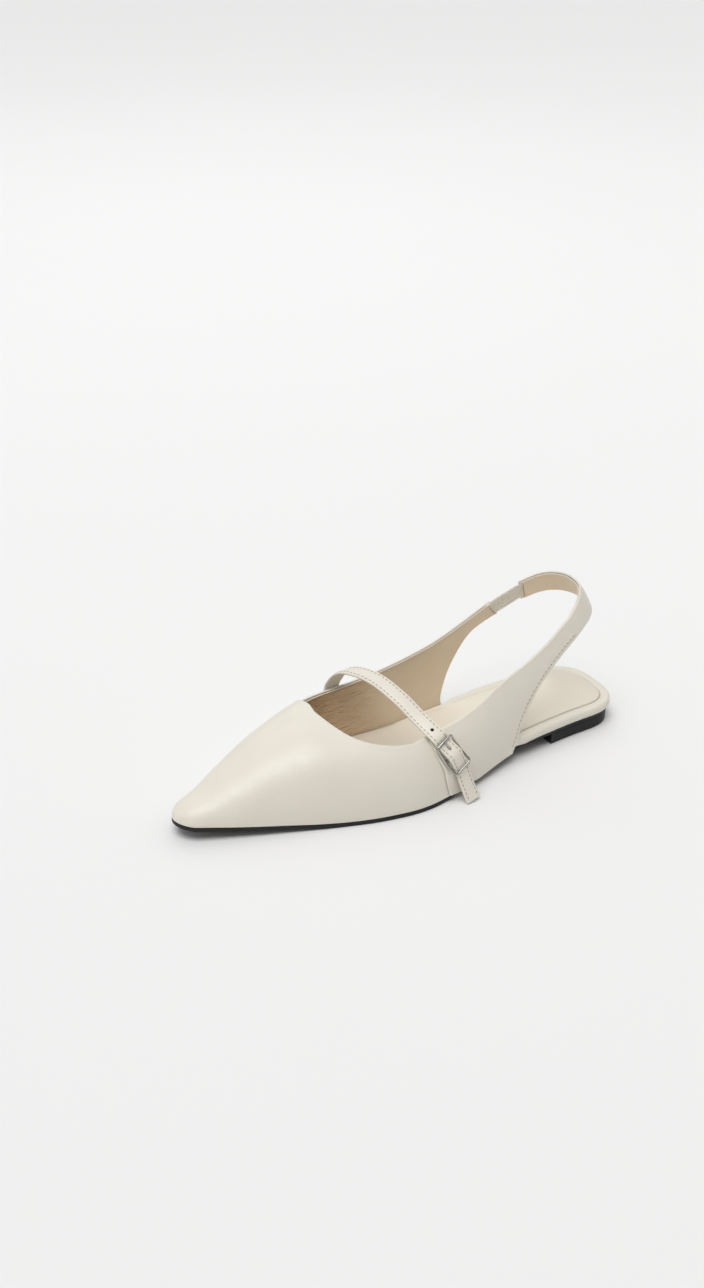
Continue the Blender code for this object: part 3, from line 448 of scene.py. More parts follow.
def along(table, at, column):
    """Reads a column of a table through a smooth curve that neither overshoots nor bends a flat run."""
    stations = [row[0] for row in table]
    values = [getattr(row, column) for row in table]
    if at <= stations[0]:
        return values[0]
    if at >= stations[-1]:
        return values[-1]
    slopes = [(values[i + 1] - values[i]) / (stations[i + 1] - stations[i]) for i in range(len(values) - 1)]

    def tangent(i):
        if i == 0:
            return slopes[0]
        if i == len(values) - 1:
            return slopes[-1]
        before, after = slopes[i - 1], slopes[i]
        return 0.0 if before * after <= 0 else 2 * before * after / (before + after)

    i = bisect_right(stations, at) - 1
    step = stations[i + 1] - stations[i]
    t = (at - stations[i]) / step
    start = (1 + 2 * t) * (1 - t) ** 2 * values[i] + t * (1 - t) ** 2 * step * tangent(i)
    end = t * t * (3 - 2 * t) * values[i + 1] - t * t * (1 - t) * step * tangent(i + 1)
    return start + end


def cap(distance, depth, power):
    """The share of full width left at a distance past the start of a rounded end."""
    return max(0.0, 1 - max(0.0, distance / depth) ** power) ** (1 / power)


def sole_under(station):
    return along(PROFILE, station / LENGTH, "under")


def sole_top(station):
    return sole_under(station) + SOLE_THICKNESS


def feather_height(station):
    """Height of the upper's lower edge."""
    return sole_top(station) + GAP - WAIST_DROP * along(PROFILE, station / LENGTH, "drop")


def half_width(station, side, rise=0.0):
    """Half width of the outline at the feather, or of the heel's rounder shape at a share of its height."""
    width = along(SECTIONS, station / LENGTH, side_name(side))
    turn = between(HEEL_TURN, STRAP_TURN, rise)
    heel = cap(turn - station, turn, between(HEEL_SQUARE, STRAP_SQUARE, rise))
    toe = cap(station - (LENGTH - TOE_CAP), TOE_CAP, 2)
    return width * heel * toe


def station_of(reach):
    """Distance from the back of the heel of the outline's point at a reach."""
    around = abs(reach)
    if around >= HEEL_FAN:
        return around
    return HEEL_FAN * (1 - math.cos(math.pi / 2 * around / HEEL_FAN))


def last_point(reach, height=None, angle=None):
    """A point on the outside of the last: x, station and z, at a height or at an angle up its section."""
    side = 1 if reach >= 0 else -1
    station = station_of(reach)
    foot_z = feather_height(station)
    centre = max(station, HEEL_FAN)
    share = centre / LENGTH
    crown_z = along(SECTIONS, share, side_name(side) + "_crown")
    crown_z *= cap(station - (LENGTH - NOSE_CAP), NOSE_CAP, 2)
    crown_x = -CROWN_SHIFT * along(SECTIONS, share, "shift")
    back = (centre - station) / HEEL_FAN
    full = along(SECTIONS, share, side_name(side) + "_full")
    if back > 0:
        full = between(full, SECTIONS[0].lateral_full, back)
    if angle is None:
        rise = min(1.0, max(0.0, (height - foot_z) / crown_z))
        spread = (1 - rise ** full) ** (1 / full)
    else:
        rise = math.sin(angle) ** (2 / full)
        spread = max(0.0, math.cos(angle)) ** (2 / full)
    foot_x = side * half_width(station, side, rise)
    along_shoe = between(centre, station, spread) + BACK_LEAN * back * rise ** LEAN_CURVE
    return Vector((between(crown_x, foot_x, spread), along_shoe, foot_z + rise * crown_z))


def on_last(reach, height, lift=0.0):
    """World position on the outside of the last, lifted off it."""
    return place(*last_point(reach, height)) + lift * outward(reach, height)


def forward(reach, height):
    """World direction along the last, pointing to the toe."""
    ahead = place(*last_point(reach + SMALL_STEP, height)) - place(*last_point(reach - SMALL_STEP, height))
    return ahead.normalized() if ahead.y < 0 else -ahead.normalized()


def outward(reach, height):
    """World direction square to the last, pointing out."""
    upward = place(*last_point(reach, height + SMALL_STEP)) - place(*last_point(reach, height - SMALL_STEP))
    normal = forward(reach, height).cross(upward).normalized()
    middle = place(0.0, max(station_of(reach), HEEL_FAN), height)
    return normal if normal.dot(place(*last_point(reach, height)) - middle) > 0 else -normal


def bridge(first, second, closed=False):
    """Quads between two equal rows of point numbers."""
    count = len(first)
    steps = count if closed else count - 1
    return [(first[i], first[(i + 1) % count], second[(i + 1) % count], second[i]) for i in range(steps)]


def numbered(rows):
    """All points of the rows in one list, and the rows as point numbers."""
    points, loops = [], []
    for row in rows:
        loops.append(list(range(len(points), len(points) + len(row))))
        points.extend(row)
    return points, loops


def skin(loops):
    """Quads from each closed row of point numbers to the next."""
    return [face for first, second in zip(loops, loops[1:]) for face in bridge(first, second, closed=True)]


def loft(rows, closed=False):
    """Points and faces through closed rows of points, with flat ends or run round into a ring."""
    points, loops = numbered(rows)
    return points, skin(loops + loops[:1]) if closed else [loops[0], loops[-1]] + skin(loops)


def spread_ribs(ribs, rows):
    """Adds ribs between those of a table, along smooth edges, with the feather's corner kept sharp."""
    corner = sum(rib.low_z is None for rib in ribs) - 1
    Point = namedtuple("Point", "at low_at low_z high_at high_z")
    table = []
    for i, rib in enumerate(ribs):
        low_z = feather_height(station_of(rib.low_at)) if rib.low_z is None else rib.low_z
        table.append(Point(i, rib.low_at, low_z, rib.high_at, rib.high_z))
    before, after = table[:corner + 1], table[corner:]
    result = []
    for step in range((len(table) - 1) * rows + 1):
        at = step / rows
        low = before if at <= corner else after
        low_at = along(low, at, "low_at")
        low_z = feather_height(station_of(low_at)) if at <= corner else along(low, at, "low_z")
        result.append(Rib(low_at, low_z, along(table, at, "high_at"), along(table, at, "high_z")))
    return result


def on_rib(rib, share):
    """The reach and height of a point on a rib."""
    return between(rib.low_at, rib.high_at, share), between(rib.low_z, rib.high_z, share)


def throat_angle(rib, share):
    """The angle up the last's section that a point on a rib has."""
    reach, height = on_rib(rib, share)
    station = station_of(reach)
    full = along(SECTIONS, station / LENGTH, side_name(reach) + "_full")
    crown = along(SECTIONS, station / LENGTH, side_name(reach) + "_crown")
    rise = (height - feather_height(station)) / crown
    return math.asin(min(1.0, max(0.0, rise) ** (full / 2)))


def rounded_steps(length, count):
    """Stations from one end to the other, closer together near both ends."""
    return [length * (1 - math.cos(math.pi * step / count)) / 2 for step in range(count + 1)]


def outline_loop(stations, inset, breast=False):
    """Plan points around stations from the heel, set in from the outline, up to the toe or to a breast."""
    back = stations[:0:-1] if breast else stations[-2:0:-1]
    loop = [(1, station) for station in stations] + [(-1, station) for station in back]
    plan = [Vector((side * half_width(station, side), station)) for side, station in loop]
    points = []
    for i, (side, station) in enumerate(loop):
        before, after = plan[i - 1], plan[(i + 1) % len(plan)]
        if breast and station == stations[-1]:
            before, after = (before, plan[i]) if side > 0 else (plan[i], after)
        tangent = (after - before).normalized()
        depth = inset(side * station)
        point = plan[i] - Vector((tangent.y, -tangent.x)) * depth
        if breast and station == stations[-1]:
            point.y = station - depth
        points.append(point)
    return points


def fill_across(loop):
    """Faces from side to side of a loop that starts at the back of the heel."""
    last = (len(loop) - 1) // 2
    faces = [(loop[0], loop[1], loop[-1])]
    for i in range(1, last):
        faces.append((loop[i], loop[i + 1], loop[-i - 1], loop[-i]))
    if len(loop) % 2 == 0:
        faces.append((loop[last], loop[last + 1], loop[last + 2]))
    return faces


def sole_inset(reach):
    return WAIST_INSET * along(PROFILE, abs(reach) / LENGTH, "inset")


def set_in(inset, more):
    return lambda reach: inset(reach) + more


def raised(height, more):
    return lambda station: height(station) + more


def inside_upper(reach):
    """How far the footbed's edge is set in: clear of the upper's wall in front of the cut, none behind it."""
    tuck = (TUCK_LATERAL if reach > 0 else TUCK_MEDIAL) * LENGTH
    share = min(1.0, max(0.0, (abs(reach) - tuck) / (2 * WALL) + 1))
    return (WALL + GAP) * share + nose_inset(reach)


def nose_inset(reach):
    """How much further in the footbed stays where the upper's nose leans over it."""
    return NOSE_INSET * max(0.0, 1 - (LENGTH - abs(reach)) / NOSE_CAP)


def rim_share(station):
    return along(PROFILE, station / LENGTH, "rim")


def footbed_under(station):
    return sole_top(station) + GAP


def footbed_top(station):
    return footbed_under(station) + BOARD_THICKNESS + (RIM_HEIGHT - BOARD_THICKNESS) * rim_share(station)


def sock_edge(reach):
    """How far in from the outline the sock's recess starts."""
    forefoot = WALL + GAP + SOCK_MARGIN + nose_inset(reach)
    return between(forefoot, RIM_WIDTH, rim_share(abs(reach)))


def smooth_path(points, steps):
    """More points along a smooth curve through the given ones."""
    ends = [2 * points[0] - points[1]] + list(points) + [2 * points[-1] - points[-2]]
    path = []
    for i in range(1, len(ends) - 2):
        before, start, end, after = ends[i - 1:i + 3]
        for step in range(steps):
            t = step / steps
            bend = 2 * before - 5 * start + 4 * end - after
            turn = 3 * start - before - 3 * end + after
            path.append(0.5 * (2 * start + (end - before) * t + bend * t * t + turn * t ** 3))
    return path + [points[-1]]


class BuckleFrame:
    """Directions at the buckle: along the strap, along the bars, and out from the shoe."""

    def __init__(self):
        self.reach = BUCKLE_AT * LENGTH
        self.origin = on_last(self.reach, BUCKLE_UP)
        self.out = outward(self.reach, BUCKLE_UP)
        above = on_last(self.reach + BUCKLE_LEAN * STRAP_WIDTH, BUCKLE_UP + STRAP_WIDTH)
        below = on_last(self.reach - BUCKLE_LEAN * STRAP_WIDTH, BUCKLE_UP - STRAP_WIDTH)
        rise = above - below
        self.up = (rise - self.out * rise.dot(self.out)).normalized()
        self.bar = self.up.cross(self.out)
        if self.bar.y > 0:
            self.bar.negate()
        self.loop = BAR_RADIUS + GAP + TAB_THICKNESS / 2
        self.ring = BAR_RADIUS + GAP + PRONG_RADIUS
        self.bar_out = GAP + TAB_THICKNESS / 2 + self.loop
        self.end_up = BUCKLE_LENGTH / 2 - BAR_RADIUS
        self.end_out = self.bar_out + BUCKLE_ARCH
        self.under = self.end_out - BAR_RADIUS - 1.5 * GAP - STRAP_THICKNESS / 2
        self.over = self.bar_out + self.ring + PRONG_RADIUS + 2 * GAP + STRAP_THICKNESS / 2

    def at(self, up, out, bar=0.0):
        return self.origin + self.up * up + self.out * out + self.bar * bar


def strap_path(buckle):
    """The instep strap's middle: up the inner side, over the instep, through the buckle, and its tail."""
    lift = GAP + STRAP_THICKNESS / 2
    reach = -STRAP_MEDIAL_AT * LENGTH
    foot = feather_height(STRAP_MEDIAL_AT * LENGTH) + GAP
    top = STRAP_LEAVES * TOPLINE_HEIGHT
    points = [on_last(reach, foot + (top - foot) * i / (WALL_KNOTS - 1), lift) for i in range(WALL_KNOTS)]
    start = points[-1]
    end = buckle.at(buckle.end_up + STRAP_LANDS * STRAP_WIDTH, buckle.under)
    for arch in STRAP_ARCH:
        point = between(start, end, arch.across)
        point.z += STRAP_RISE * arch.rise
        points.append(point)
    points.append(end)
    for share in (1.0, 0.5, 0.0, -0.5, -1.0):
        points.append(buckle.at(buckle.end_up * share, between(buckle.over, buckle.under, abs(share))))
    hang = (-buckle.up).lerp(Vector((0, 0, -1)), TAIL_HANG).normalized()
    last = points[-1]
    for share in TAIL_SHARES:
        points.append(last + hang * TAIL_LENGTH * share + buckle.out * TAIL_CURL * share ** 2)
    return points


def prong_path(buckle):
    """The prong's middle: round the centre bar, then out to rest on the end bar."""
    points = []
    for step in range(TURN_STEPS + 1):
        turn = math.radians(CURL_START + CURL_TURN * step / TURN_STEPS)
        points.append(buckle.at(buckle.ring * math.cos(turn), buckle.bar_out + buckle.ring * math.sin(turn)))
    tip = buckle.at(buckle.end_up + 2 * BAR_RADIUS, buckle.end_out + buckle.ring)
    for share in QUARTERS:
        points.append(between(points[TURN_STEPS], tip, share))
    return points


def tab_spot(height, lift):
    """A point of the tab against the upper: up from the feather edge, then leaning with the buckle."""
    foot = TAB_AT * LENGTH
    low = feather_height(foot) + GAP
    knee = BUCKLE_UP - TAB_RETURN - 2 * TAB_THICKNESS
    reach = BUCKLE_AT * LENGTH + BUCKLE_LEAN * (max(height, knee) - BUCKLE_UP)
    share = min(1.0, (height - low) / (knee - low))
    return on_last(between(foot, reach, share), height, lift)


def tab_base():
    """The tab's wide layer against the upper: its middle, the directions across it, and its flares."""
    low = feather_height(TAB_AT * LENGTH) + GAP
    points, sides, flares = [], [], []
    for step in range(TAB_STEPS + 1):
        share = step / TAB_STEPS
        height = between(low, TAB_TOP * TOPLINE_HEIGHT, share)
        point = tab_spot(height, GAP + TAB_THICKNESS / 2)
        points.append(point)
        sides.append(forward(HEEL_LENGTH / 2 - point.y, height))
        flares.append(TAB_FLARE * math.sin(math.pi * TAB_FLARE_SPAN * share))
    return points, sides, flares


def tab_loop(buckle):
    """The middle of the tab's loop: off its base, round the centre bar, and back down."""
    lift = GAP + TAB_THICKNESS / 2 + TAB_PROUD
    low = buckle.at(-TAB_RETURN - 2 * TAB_THICKNESS, lift).z
    points = [tab_spot(low, lift), buckle.at(-TAB_RETURN, lift)]
    for step in range(TURN_STEPS + 1):
        turn = math.radians(-90 + 180 * step / TURN_STEPS)
        points.append(buckle.at(buckle.loop * math.cos(turn), buckle.bar_out + buckle.loop * math.sin(turn)))
    for end in TAB_ENDS:
        points.append(buckle.at(-end.down * TAB_RETURN, buckle.bar_out + end.out * buckle.loop))
    points.append(buckle.at(-TAB_RETURN, lift + TAB_THICKNESS + 1.2 * GAP))
    return points


def add_object(name, data):
    """A new object in the scene."""
    thing = bpy.data.objects.new(name, data)
    bpy.context.scene.collection.objects.link(thing)
    return thing


def new_piece(name, points, faces, material, slot, replaces=(), sharp=SHARP_ANGLE, merge=True):
    """A visible piece made of points and faces."""
    mesh = bpy.data.meshes.new(name)
    build = bmesh.new()
    corners = [build.verts.new(point) for point in points]
    for face in faces:
        if len(set(face)) == len(face):
            build.faces.new([corners[i] for i in face])
    if merge:
        bmesh.ops.remove_doubles(build, verts=build.verts, dist=WELD)
    bmesh.ops.recalc_face_normals(build, faces=build.faces)
    build.to_mesh(mesh)
    build.free()
    dress(name, mesh, material, replaces, sharp)


def dress(name, mesh, material, replaces=(), sharp=SHARP_ANGLE):
    """Turns a mesh into a smooth-shaded piece that rides on the shoe's one body."""
    for polygon in mesh.polygons:
        polygon.use_smooth = True
    mesh.set_sharp_from_angle(angle=math.radians(sharp))
    mesh.materials.append(material)
    piece = add_object(name, mesh)
    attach(piece, "root")
    if replaces:
        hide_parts(*replaces)


def edge_shares(length, steps):
    """Shares along a line of this length, close together near both ends."""
    near = [step / length for step in EDGE_STEPS]
    middle = [near[-1] + (1 - 2 * near[-1]) * i / steps for i in range(1, steps)]
    return near + middle + [1 - share for share in reversed(near)]


def rib_shares(rib, steps):
    """Shares along a rib, close together near its two edges."""
    length = (last_point(rib.high_at, rib.high_z) - last_point(rib.low_at, rib.low_z)).length
    return edge_shares(length, steps)


def rib_line(rib, steps):
    """Points up a rib on the last."""
    return [last_point(*on_rib(rib, share)) for share in rib_shares(rib, steps)]


def side_columns(rib, side, steps):
    """The columns of the vamp that carry on from a rib: side, angle up the section, and station."""
    shares = rib_shares(rib, steps)
    return [(side, throat_angle(rib, share), abs(on_rib(rib, share)[0])) for share in shares]


class Sheet:
    """The upper's outer surface as a fine open mesh, with the lines along its edges."""

    def __init__(self, rows_per_rib, middle_steps, vamp_steps):
        self.points = []
        self.faces = []
        self.known = {}
        lateral = spread_ribs(LATERAL_RIBS, rows_per_rib)
        medial = spread_ribs(MEDIAL_RIBS, rows_per_rib)
        outer, inner = side_columns(lateral[0], 1, middle_steps), side_columns(medial[0], -1, middle_steps)
        columns = outer + throat_between(outer[-1], inner[-1]) + inner[::-1]
        rows = []
        for step in range(-len(EDGE_STEPS) + 1, vamp_steps + 1):
            row = []
            for side, angle, station in columns:
                room = LENGTH - station
                first = EDGE_STEPS[-1] / room
                if step <= 0:
                    share = EDGE_STEPS[step + len(EDGE_STEPS) - 1] / room
                else:
                    share = between(first, 1, math.sin(math.pi / 2 * step / vamp_steps))
                row.append(self.add(last_point(side * (station + room * share), angle=angle)))
            rows.append(row)
        self.join(rows)
        lines = {}
        for name, ribs in (("lateral", lateral), ("medial", medial)):
            lines[name] = [[self.add(point) for point in rib_line(rib, middle_steps)] for rib in ribs]
            self.join(lines[name])
        throat = rows[0][len(outer) - 1:len(columns) - len(inner) + 1]
        highs = {name: [line[-1] for line in found] for name, found in lines.items()}
        self.topline = highs["lateral"][:0:-1] + throat + highs["medial"][1:]
        self.strap_low = self.behind(lines["lateral"], lateral)
        self.quarter_low = self.behind(lines["medial"], medial)
        self.strap_end = lines["lateral"][-1]
        self.quarter_end = lines["medial"][-1]
        self.build()

    def add(self, point):
        """The number of a point of the last, one number for each place."""
        spot = place(*point)
        cell = tuple(round(v / MERGE) for v in spot)
        for near in product((0, -1, 1), repeat=3):
            found = self.known.get(tuple(a + b for a, b in zip(cell, near)))
            if found is not None and (self.points[found] - spot).length < MERGE:
                return found
        self.known[cell] = len(self.points)
        self.points.append(spot)
        return self.known[cell]

    def join(self, rows):
        for first, second in zip(rows, rows[1:]):
            for face in bridge(first, second):
                corners = tuple(dict.fromkeys(face))
                if len(corners) > 2:
                    self.faces.append(corners)

    def behind(self, lines, ribs):
        """The lower edge from the feather edge back to the end of the leather."""
        feather = [feather_height(station_of(rib.low_at)) for rib in ribs]
        return [line[0] for line, rib, low in zip(lines, ribs, feather) if rib.low_z > low + GAP]

    def build(self):
        """Works out the normals, and at each edge the direction that points off the leather."""
        build = bmesh.new()
        verts = [build.verts.new(point) for point in self.points]
        for face in self.faces:
            if build.faces.get([verts[i] for i in face]) is None:
                build.faces.new([verts[i] for i in face])
        bmesh.ops.recalc_face_normals(build, faces=build.faces)
        if sum(face.normal.z * face.calc_area() for face in build.faces) < 0:
            bmesh.ops.reverse_faces(build, faces=build.faces)
        build.normal_update()
        build.verts.index_update()
        self.faces = [[vert.index for vert in face.verts] for face in build.faces]
        self.normals = [vert.normal.copy() for vert in build.verts]
        self.away = {}
        self.edges = []
        for edge in build.edges:
            if edge.is_boundary:
                face = edge.link_faces[0]
                first, second = edge.verts
                line = (second.co - first.co).normalized()
                off = line.cross(face.normal)
                if off.dot(face.calc_center_median() - first.co) > 0:
                    off.negate()
                for vert in edge.verts:
                    self.away[vert.index] = self.away.get(vert.index, Vector()) + off
                loop = [vert.index for vert in face.verts]
                at = loop.index(first.index)
                ahead = loop[(at + 1) % len(loop)] == second.index
                self.edges.append((first.index, second.index) if ahead else (second.index, first.index))
        self.away = {i: off.normalized() for i, off in self.away.items()}
        build.free()
        low = [point.z < feather_height(HEEL_LENGTH / 2 - point.y) + FEATHER_NEAR for point in self.points]
        for i, normal in enumerate(self.normals):
            if low[i]:
                normal.z = 0.0
                normal.normalize()
        self.grounded = low

    def at(self, i, depth, inset):
        """A point at an edge: so deep in the wall, so far in from the edge."""
        return self.points[i] - self.normals[i] * depth - self.away[i] * inset


def throat_between(start, end):
    """The columns along the throat, from the outer quarter's corner round to the inner one's."""
    columns = []
    turn = math.pi - end[1]
    for step in range(1, THROAT_STEPS):
        share = step / THROAT_STEPS
        angle = between(start[1], turn, share ** THROAT_TURN)
        station = between(start[2], end[2], 1 - (1 - share) ** THROAT_SWEEP)
        columns.append((1, angle, station) if angle <= math.pi / 2 else (-1, math.pi - angle, station))
    return columns


def wall(sheet, depth, thickness, set_back, bulge, change=None):
    """Points and faces of one layer of the upper, with its edges rounded over."""
    outer = []
    for i, point in enumerate(sheet.points):
        move = change(i) if change else 0.0
        spot = point - sheet.normals[i] * (depth - move)
        if i in sheet.away and not sheet.grounded[i]:
            spot = spot - sheet.away[i] * (set_back + bulge)
        outer.append(spot)
    count = len(outer)
    inner = [spot - normal * thickness for spot, normal in zip(outer, sheet.normals)]
    points = outer + inner
    faces = [list(face) for face in sheet.faces]
    faces += [[i + count for i in reversed(face)] for face in sheet.faces]
    rim = {}
    for i, off in sheet.away.items():
        middle = (outer[i] + inner[i]) / 2
        reach = 0.0 if sheet.grounded[i] else bulge
        row = [i]
        for step in range(1, RIM_STEPS):
            turn = math.pi * step / RIM_STEPS
            row.append(len(points))
            up, out = thickness / 2 * math.cos(turn), reach * math.sin(turn)
            points.append(middle + sheet.normals[i] * up + off * out)
        rim[i] = row + [i + count]
    for first, second in sheet.edges:
        faces.extend(bridge(rim[second], rim[first]))
    return points, faces


def near_line(sheet, numbers):
    """A finder of the distance from any point to a line of the sheet's points."""
    line = [sheet.points[i] for i in numbers]
    dense = [a.lerp(b, step / LINE_STEPS) for a, b in zip(line, line[1:]) for step in range(LINE_STEPS)]
    dense.append(line[-1])
    tree = kdtree.KDTree(len(dense))
    for i, point in enumerate(dense):
        tree.insert(point, i)
    tree.balance()
    return lambda point: tree.find(point)[2]


def bump(distance, at, width):
    """A soft round rise of height one."""
    return math.exp(-((distance - at) / width) ** 2)


def make_leather(sheet):
    """The leather, rolled over along the topline."""
    from_top = near_line(sheet, sheet.topline)

    def change(i):
        distance = from_top(sheet.points[i])
        dip = EDGE_DIP * bump(distance, EDGE_DIP_AT, EDGE_DIP_WIDTH)
        ease = min(1.0, distance / EDGE_ROLL_AT)
        return EDGE_ROLL * ease * (bump(distance, EDGE_ROLL_AT, EDGE_ROLL_WIDTH) - dip)

    points, faces = wall(sheet, 0.0, LEATHER_SHARE * WALL, 0.0, EDGE_BULGE, change)
    new_piece("upper_leather", points, faces, LEATHER, "upper_leather", ["upper"], merge=False)


def make_lining(sheet):
    depth = LEATHER_SHARE * WALL + LINING_GAP
    points, faces = wall(sheet, depth, LINING_THICKNESS, LINING_SET_BACK, EDGE_BULGE / 2)
    new_piece("upper_lining", points, faces, LINING, "upper_leather", merge=False)


def tube(path, radius, up, sides=TUBE_SIDES, closed=False):
    """Points and faces of a round bar along a path. Radius and up are one value, or one for each point."""
    rows = []
    count = len(path)
    for i, centre in enumerate(path):
        ahead = path[(i + 1) % count] if closed else path[min(i + 1, count - 1)]
        behind = path[i - 1] if closed else path[max(i - 1, 0)]
        tangent = (ahead - behind).normalized()
        side = up[i] if isinstance(up, list) else up
        side = (side - tangent * side.dot(tangent)).normalized()
        size = radius[i] if isinstance(radius, list) else radius
        rows.append([centre + spoke * size for spoke in spokes(side, side.cross(tangent), sides)])
    return loft(rows, closed)


def spokes(side, across, count):
    """Directions all round, in even steps."""
    turns = [2 * math.pi * step / count for step in range(count)]
    return [side * math.cos(turn) + across * math.sin(turn) for turn in turns]


def make_piping(sheet):
    """The thin folded edge that shows between the leather and the lining along the topline."""
    depth = LEATHER_SHARE * WALL + PIPING_GAP + PIPING_RADIUS
    path = [sheet.at(i, depth, PIPING_DROP + PIPING_RADIUS) for i in sheet.topline]
    ups = [sheet.normals[i] for i in sheet.topline]
    new_piece("topline_piping", *tube(path, PIPING_RADIUS, ups, PIPING_SIDES), LEATHER, "upper_leather")


def stitch_row(threads, holes, path, normals):
    """Adds stitches along a path: short raised threads with a needle hole at each end, drawn as a dark dot of
    painted shade.
    """
    lengths = [0.0]
    for before, after in zip(path, path[1:]):
        lengths.append(lengths[-1] + (after - before).length)

    def spot(distance):
        i = min(len(path) - 2, max(0, bisect_right(lengths, distance) - 1))
        share = (distance - lengths[i]) / (lengths[i + 1] - lengths[i])
        return path[i].lerp(path[i + 1], share), normals[i].lerp(normals[i + 1], share).normalized()

    count = max(1, round(lengths[-1] / STITCH_PITCH))
    pitch = lengths[-1] / count
    for k in range(count):
        first = pitch * k + (pitch - STITCH_LENGTH) / 2
        line, ups = [], []
        for share, height in STITCH_SHAPE:
            point, normal = spot(first + STITCH_LENGTH * share)
            line.append(point + normal * THREAD_RADIUS * height)
            ups.append(normal)
        add_mesh(threads, tube(line, THREAD_RADIUS, ups, THREAD_SIDES))
        add_mesh(holes, dot(*spot(pitch * k)))


def dot(point, normal):
    """A needle hole's painted shade: a small dark cap that hardly stands off the leather."""
    side = normal.orthogonal().normalized()
    around = spokes(side, normal.cross(side), THREAD_SIDES)
    rows = []
    for height, size in DOT_RINGS:
        centre = point + normal * HOLE_DOT * height
        rows.append([centre + spoke * HOLE_DOT * size for spoke in around])
    return loft(rows)


def add_mesh(whole, new):
    points, faces = whole
    first = len(points)
    points.extend(new[0])
    faces.extend([i + first for i in face] for face in new[1])


def make_stitches(name, rows, slot, thread):
    threads, holes = ([], []), ([], [])
    for path, normals in rows:
        stitch_row(threads, holes, path, normals)
    new_piece(name + "_thread", *threads, thread, slot)
    # The hole dots are painted shade: dark caps where the needle holes would be in shadow
    new_piece(name + "_painted_hole_shade", *holes, NEEDLE_HOLE_PAINTED_SHADE, slot)


def make_upper_stitches(sheet):
    """Rows along the back edges of both quarters, and across the leather at both ends of the elastic."""
    rows = []
    for numbers in (sheet.strap_low[LATERAL_STITCHES], sheet.quarter_low[MEDIAL_STITCHES]):
        path = [sheet.at(i, 0.0, EDGE_STITCH_INSET) for i in numbers]
        rows.append((path, [sheet.normals[i] for i in numbers]))
    make_stitches("upper_stitch", rows, "upper_leather", PALE_THREAD)
    rows = []
    for numbers in (sheet.strap_end[END_STITCHES], sheet.quarter_end[END_STITCHES]):
        for side, depth in ((1, 0.0), (-1, LEATHER_SHARE * WALL + LINING_THICKNESS + END_STITCH_GAP)):
            path = [sheet.at(i, depth, END_STITCH_INSET) for i in numbers]
            rows.append((path, [sheet.normals[i] * side for i in numbers]))
    make_stitches("end_stitch", rows, "upper_leather", PAINTED_SHADE_THREAD)


def plate(name, rings, stations, material, slot, replaces, breast=False):
    """A closed plate from rings of (inset, height), from its bottom out and up to its top."""
    rows = []
    for inset, height in rings:
        loop = outline_loop(stations, inset, breast)
        rows.append([place(point.x, point.y, height(point.y)) for point in loop])
    points, loops = numbered(rows)
    faces = skin(loops) + fill_across(loops[0]) + fill_across(loops[-1])
    new_piece(name, points, faces, material, slot, replaces)


def edge_rings(side, under, size, shares):
    """Rings up a plate's lower edge, set in and raised by shares of a size."""
    return [(set_in(side, inset * size), raised(under, up * size)) for inset, up in shares]


def quarter_turn(steps):
    """Angles from zero up to a right angle."""
    return [math.pi / 2 * step / steps for step in range(steps + 1)]


def round_over(side, top, radius, steps):
    """Rings that turn from an upright side over to a flat top."""
    rings = []
    for turn in quarter_turn(steps):
        drop = radius * (math.sin(turn) - 1)
        rings.append((set_in(side, radius * (1 - math.cos(turn))), raised(top, drop)))
    return rings


def make_outsole():
    edge = 2 * SOLE_EDGE / 3
    rings = edge_rings(sole_inset, sole_under, edge, SOLE_RINGS)
    rings += round_over(sole_inset, sole_top, edge / 2, SOLE_ROUND_STEPS)
    plate("outsole_rubber", rings, rounded_steps(LENGTH, OUTLINE_STEPS), SOLE, "sole_rubber", ["outsole"])


def make_heel():
    side = set_in(sole_inset, HEEL_INSET)
    shares = [(1 - math.sin(turn), 1 - math.cos(turn)) for turn in quarter_turn(HEEL_EDGE_STEPS)]
    rings = edge_rings(side, lambda station: 0.0, HEEL_EDGE, shares)
    rings += round_over(side, lambda station: HEEL_HEIGHT - GAP, HEEL_EDGE / 2, SOLE_ROUND_STEPS)
    stations = rounded_steps(2 * HEEL_LENGTH, 2 * HEEL_STEPS)[:HEEL_STEPS + 1]
    plate("heel_block_rubber", rings, stations, SOLE, "heel_rubber", ["heel_block"], breast=True)


def make_footbed():
    """The rim wrapped in leather, its outside bellied, with a recess inside for the sock."""
    rings = edge_rings(inside_upper, footbed_under, RIM_ROUND, FOOTBED_RINGS)
    rings += round_over(inside_upper, footbed_top, RIM_TOP_ROUND * RIM_ROUND, RIM_ROUND_STEPS)[1:]
    rings += [(set_in(sock_edge, -RECESS_LIP), footbed_top),
              (set_in(sock_edge, -RECESS_EDGE), raised(footbed_top, -RECESS_EDGE_DEPTH)),
              (sock_edge, raised(footbed_top, -SOCK_DEPTH))]
    stations = rounded_steps(LENGTH, OUTLINE_STEPS)
    plate("footbed_rim", rings, stations, LEATHER, "footbed_leather", ["footbed"])


def make_sock():
    """The sock, a little crowned from its edge inwards."""
    under = raised(footbed_top, GAP - SOCK_DEPTH)
    top = raised(under, SOCK_THICKNESS - SOCK_SINK)
    side = set_in(sock_edge, GAP)
    rings = [(side, under)] + round_over(side, top, SOCK_ROUND, SOCK_ROUND_STEPS)
    for share in QUARTERS:
        rise = SOCK_CROWN * math.sin(math.pi / 2 * share)
        rings.append((set_in(side, SOCK_ROUND + SOCK_CROWN_WIDTH * share), raised(top, rise)))
    nose = LENGTH - 2 * TOE_CAP
    stations = [at for at in rounded_steps(LENGTH, OUTLINE_STEPS) if at < nose or at == LENGTH]
    plate("insole_sock_leather", rings, stations, SOCK, "sock_leather", ["insole_sock"])


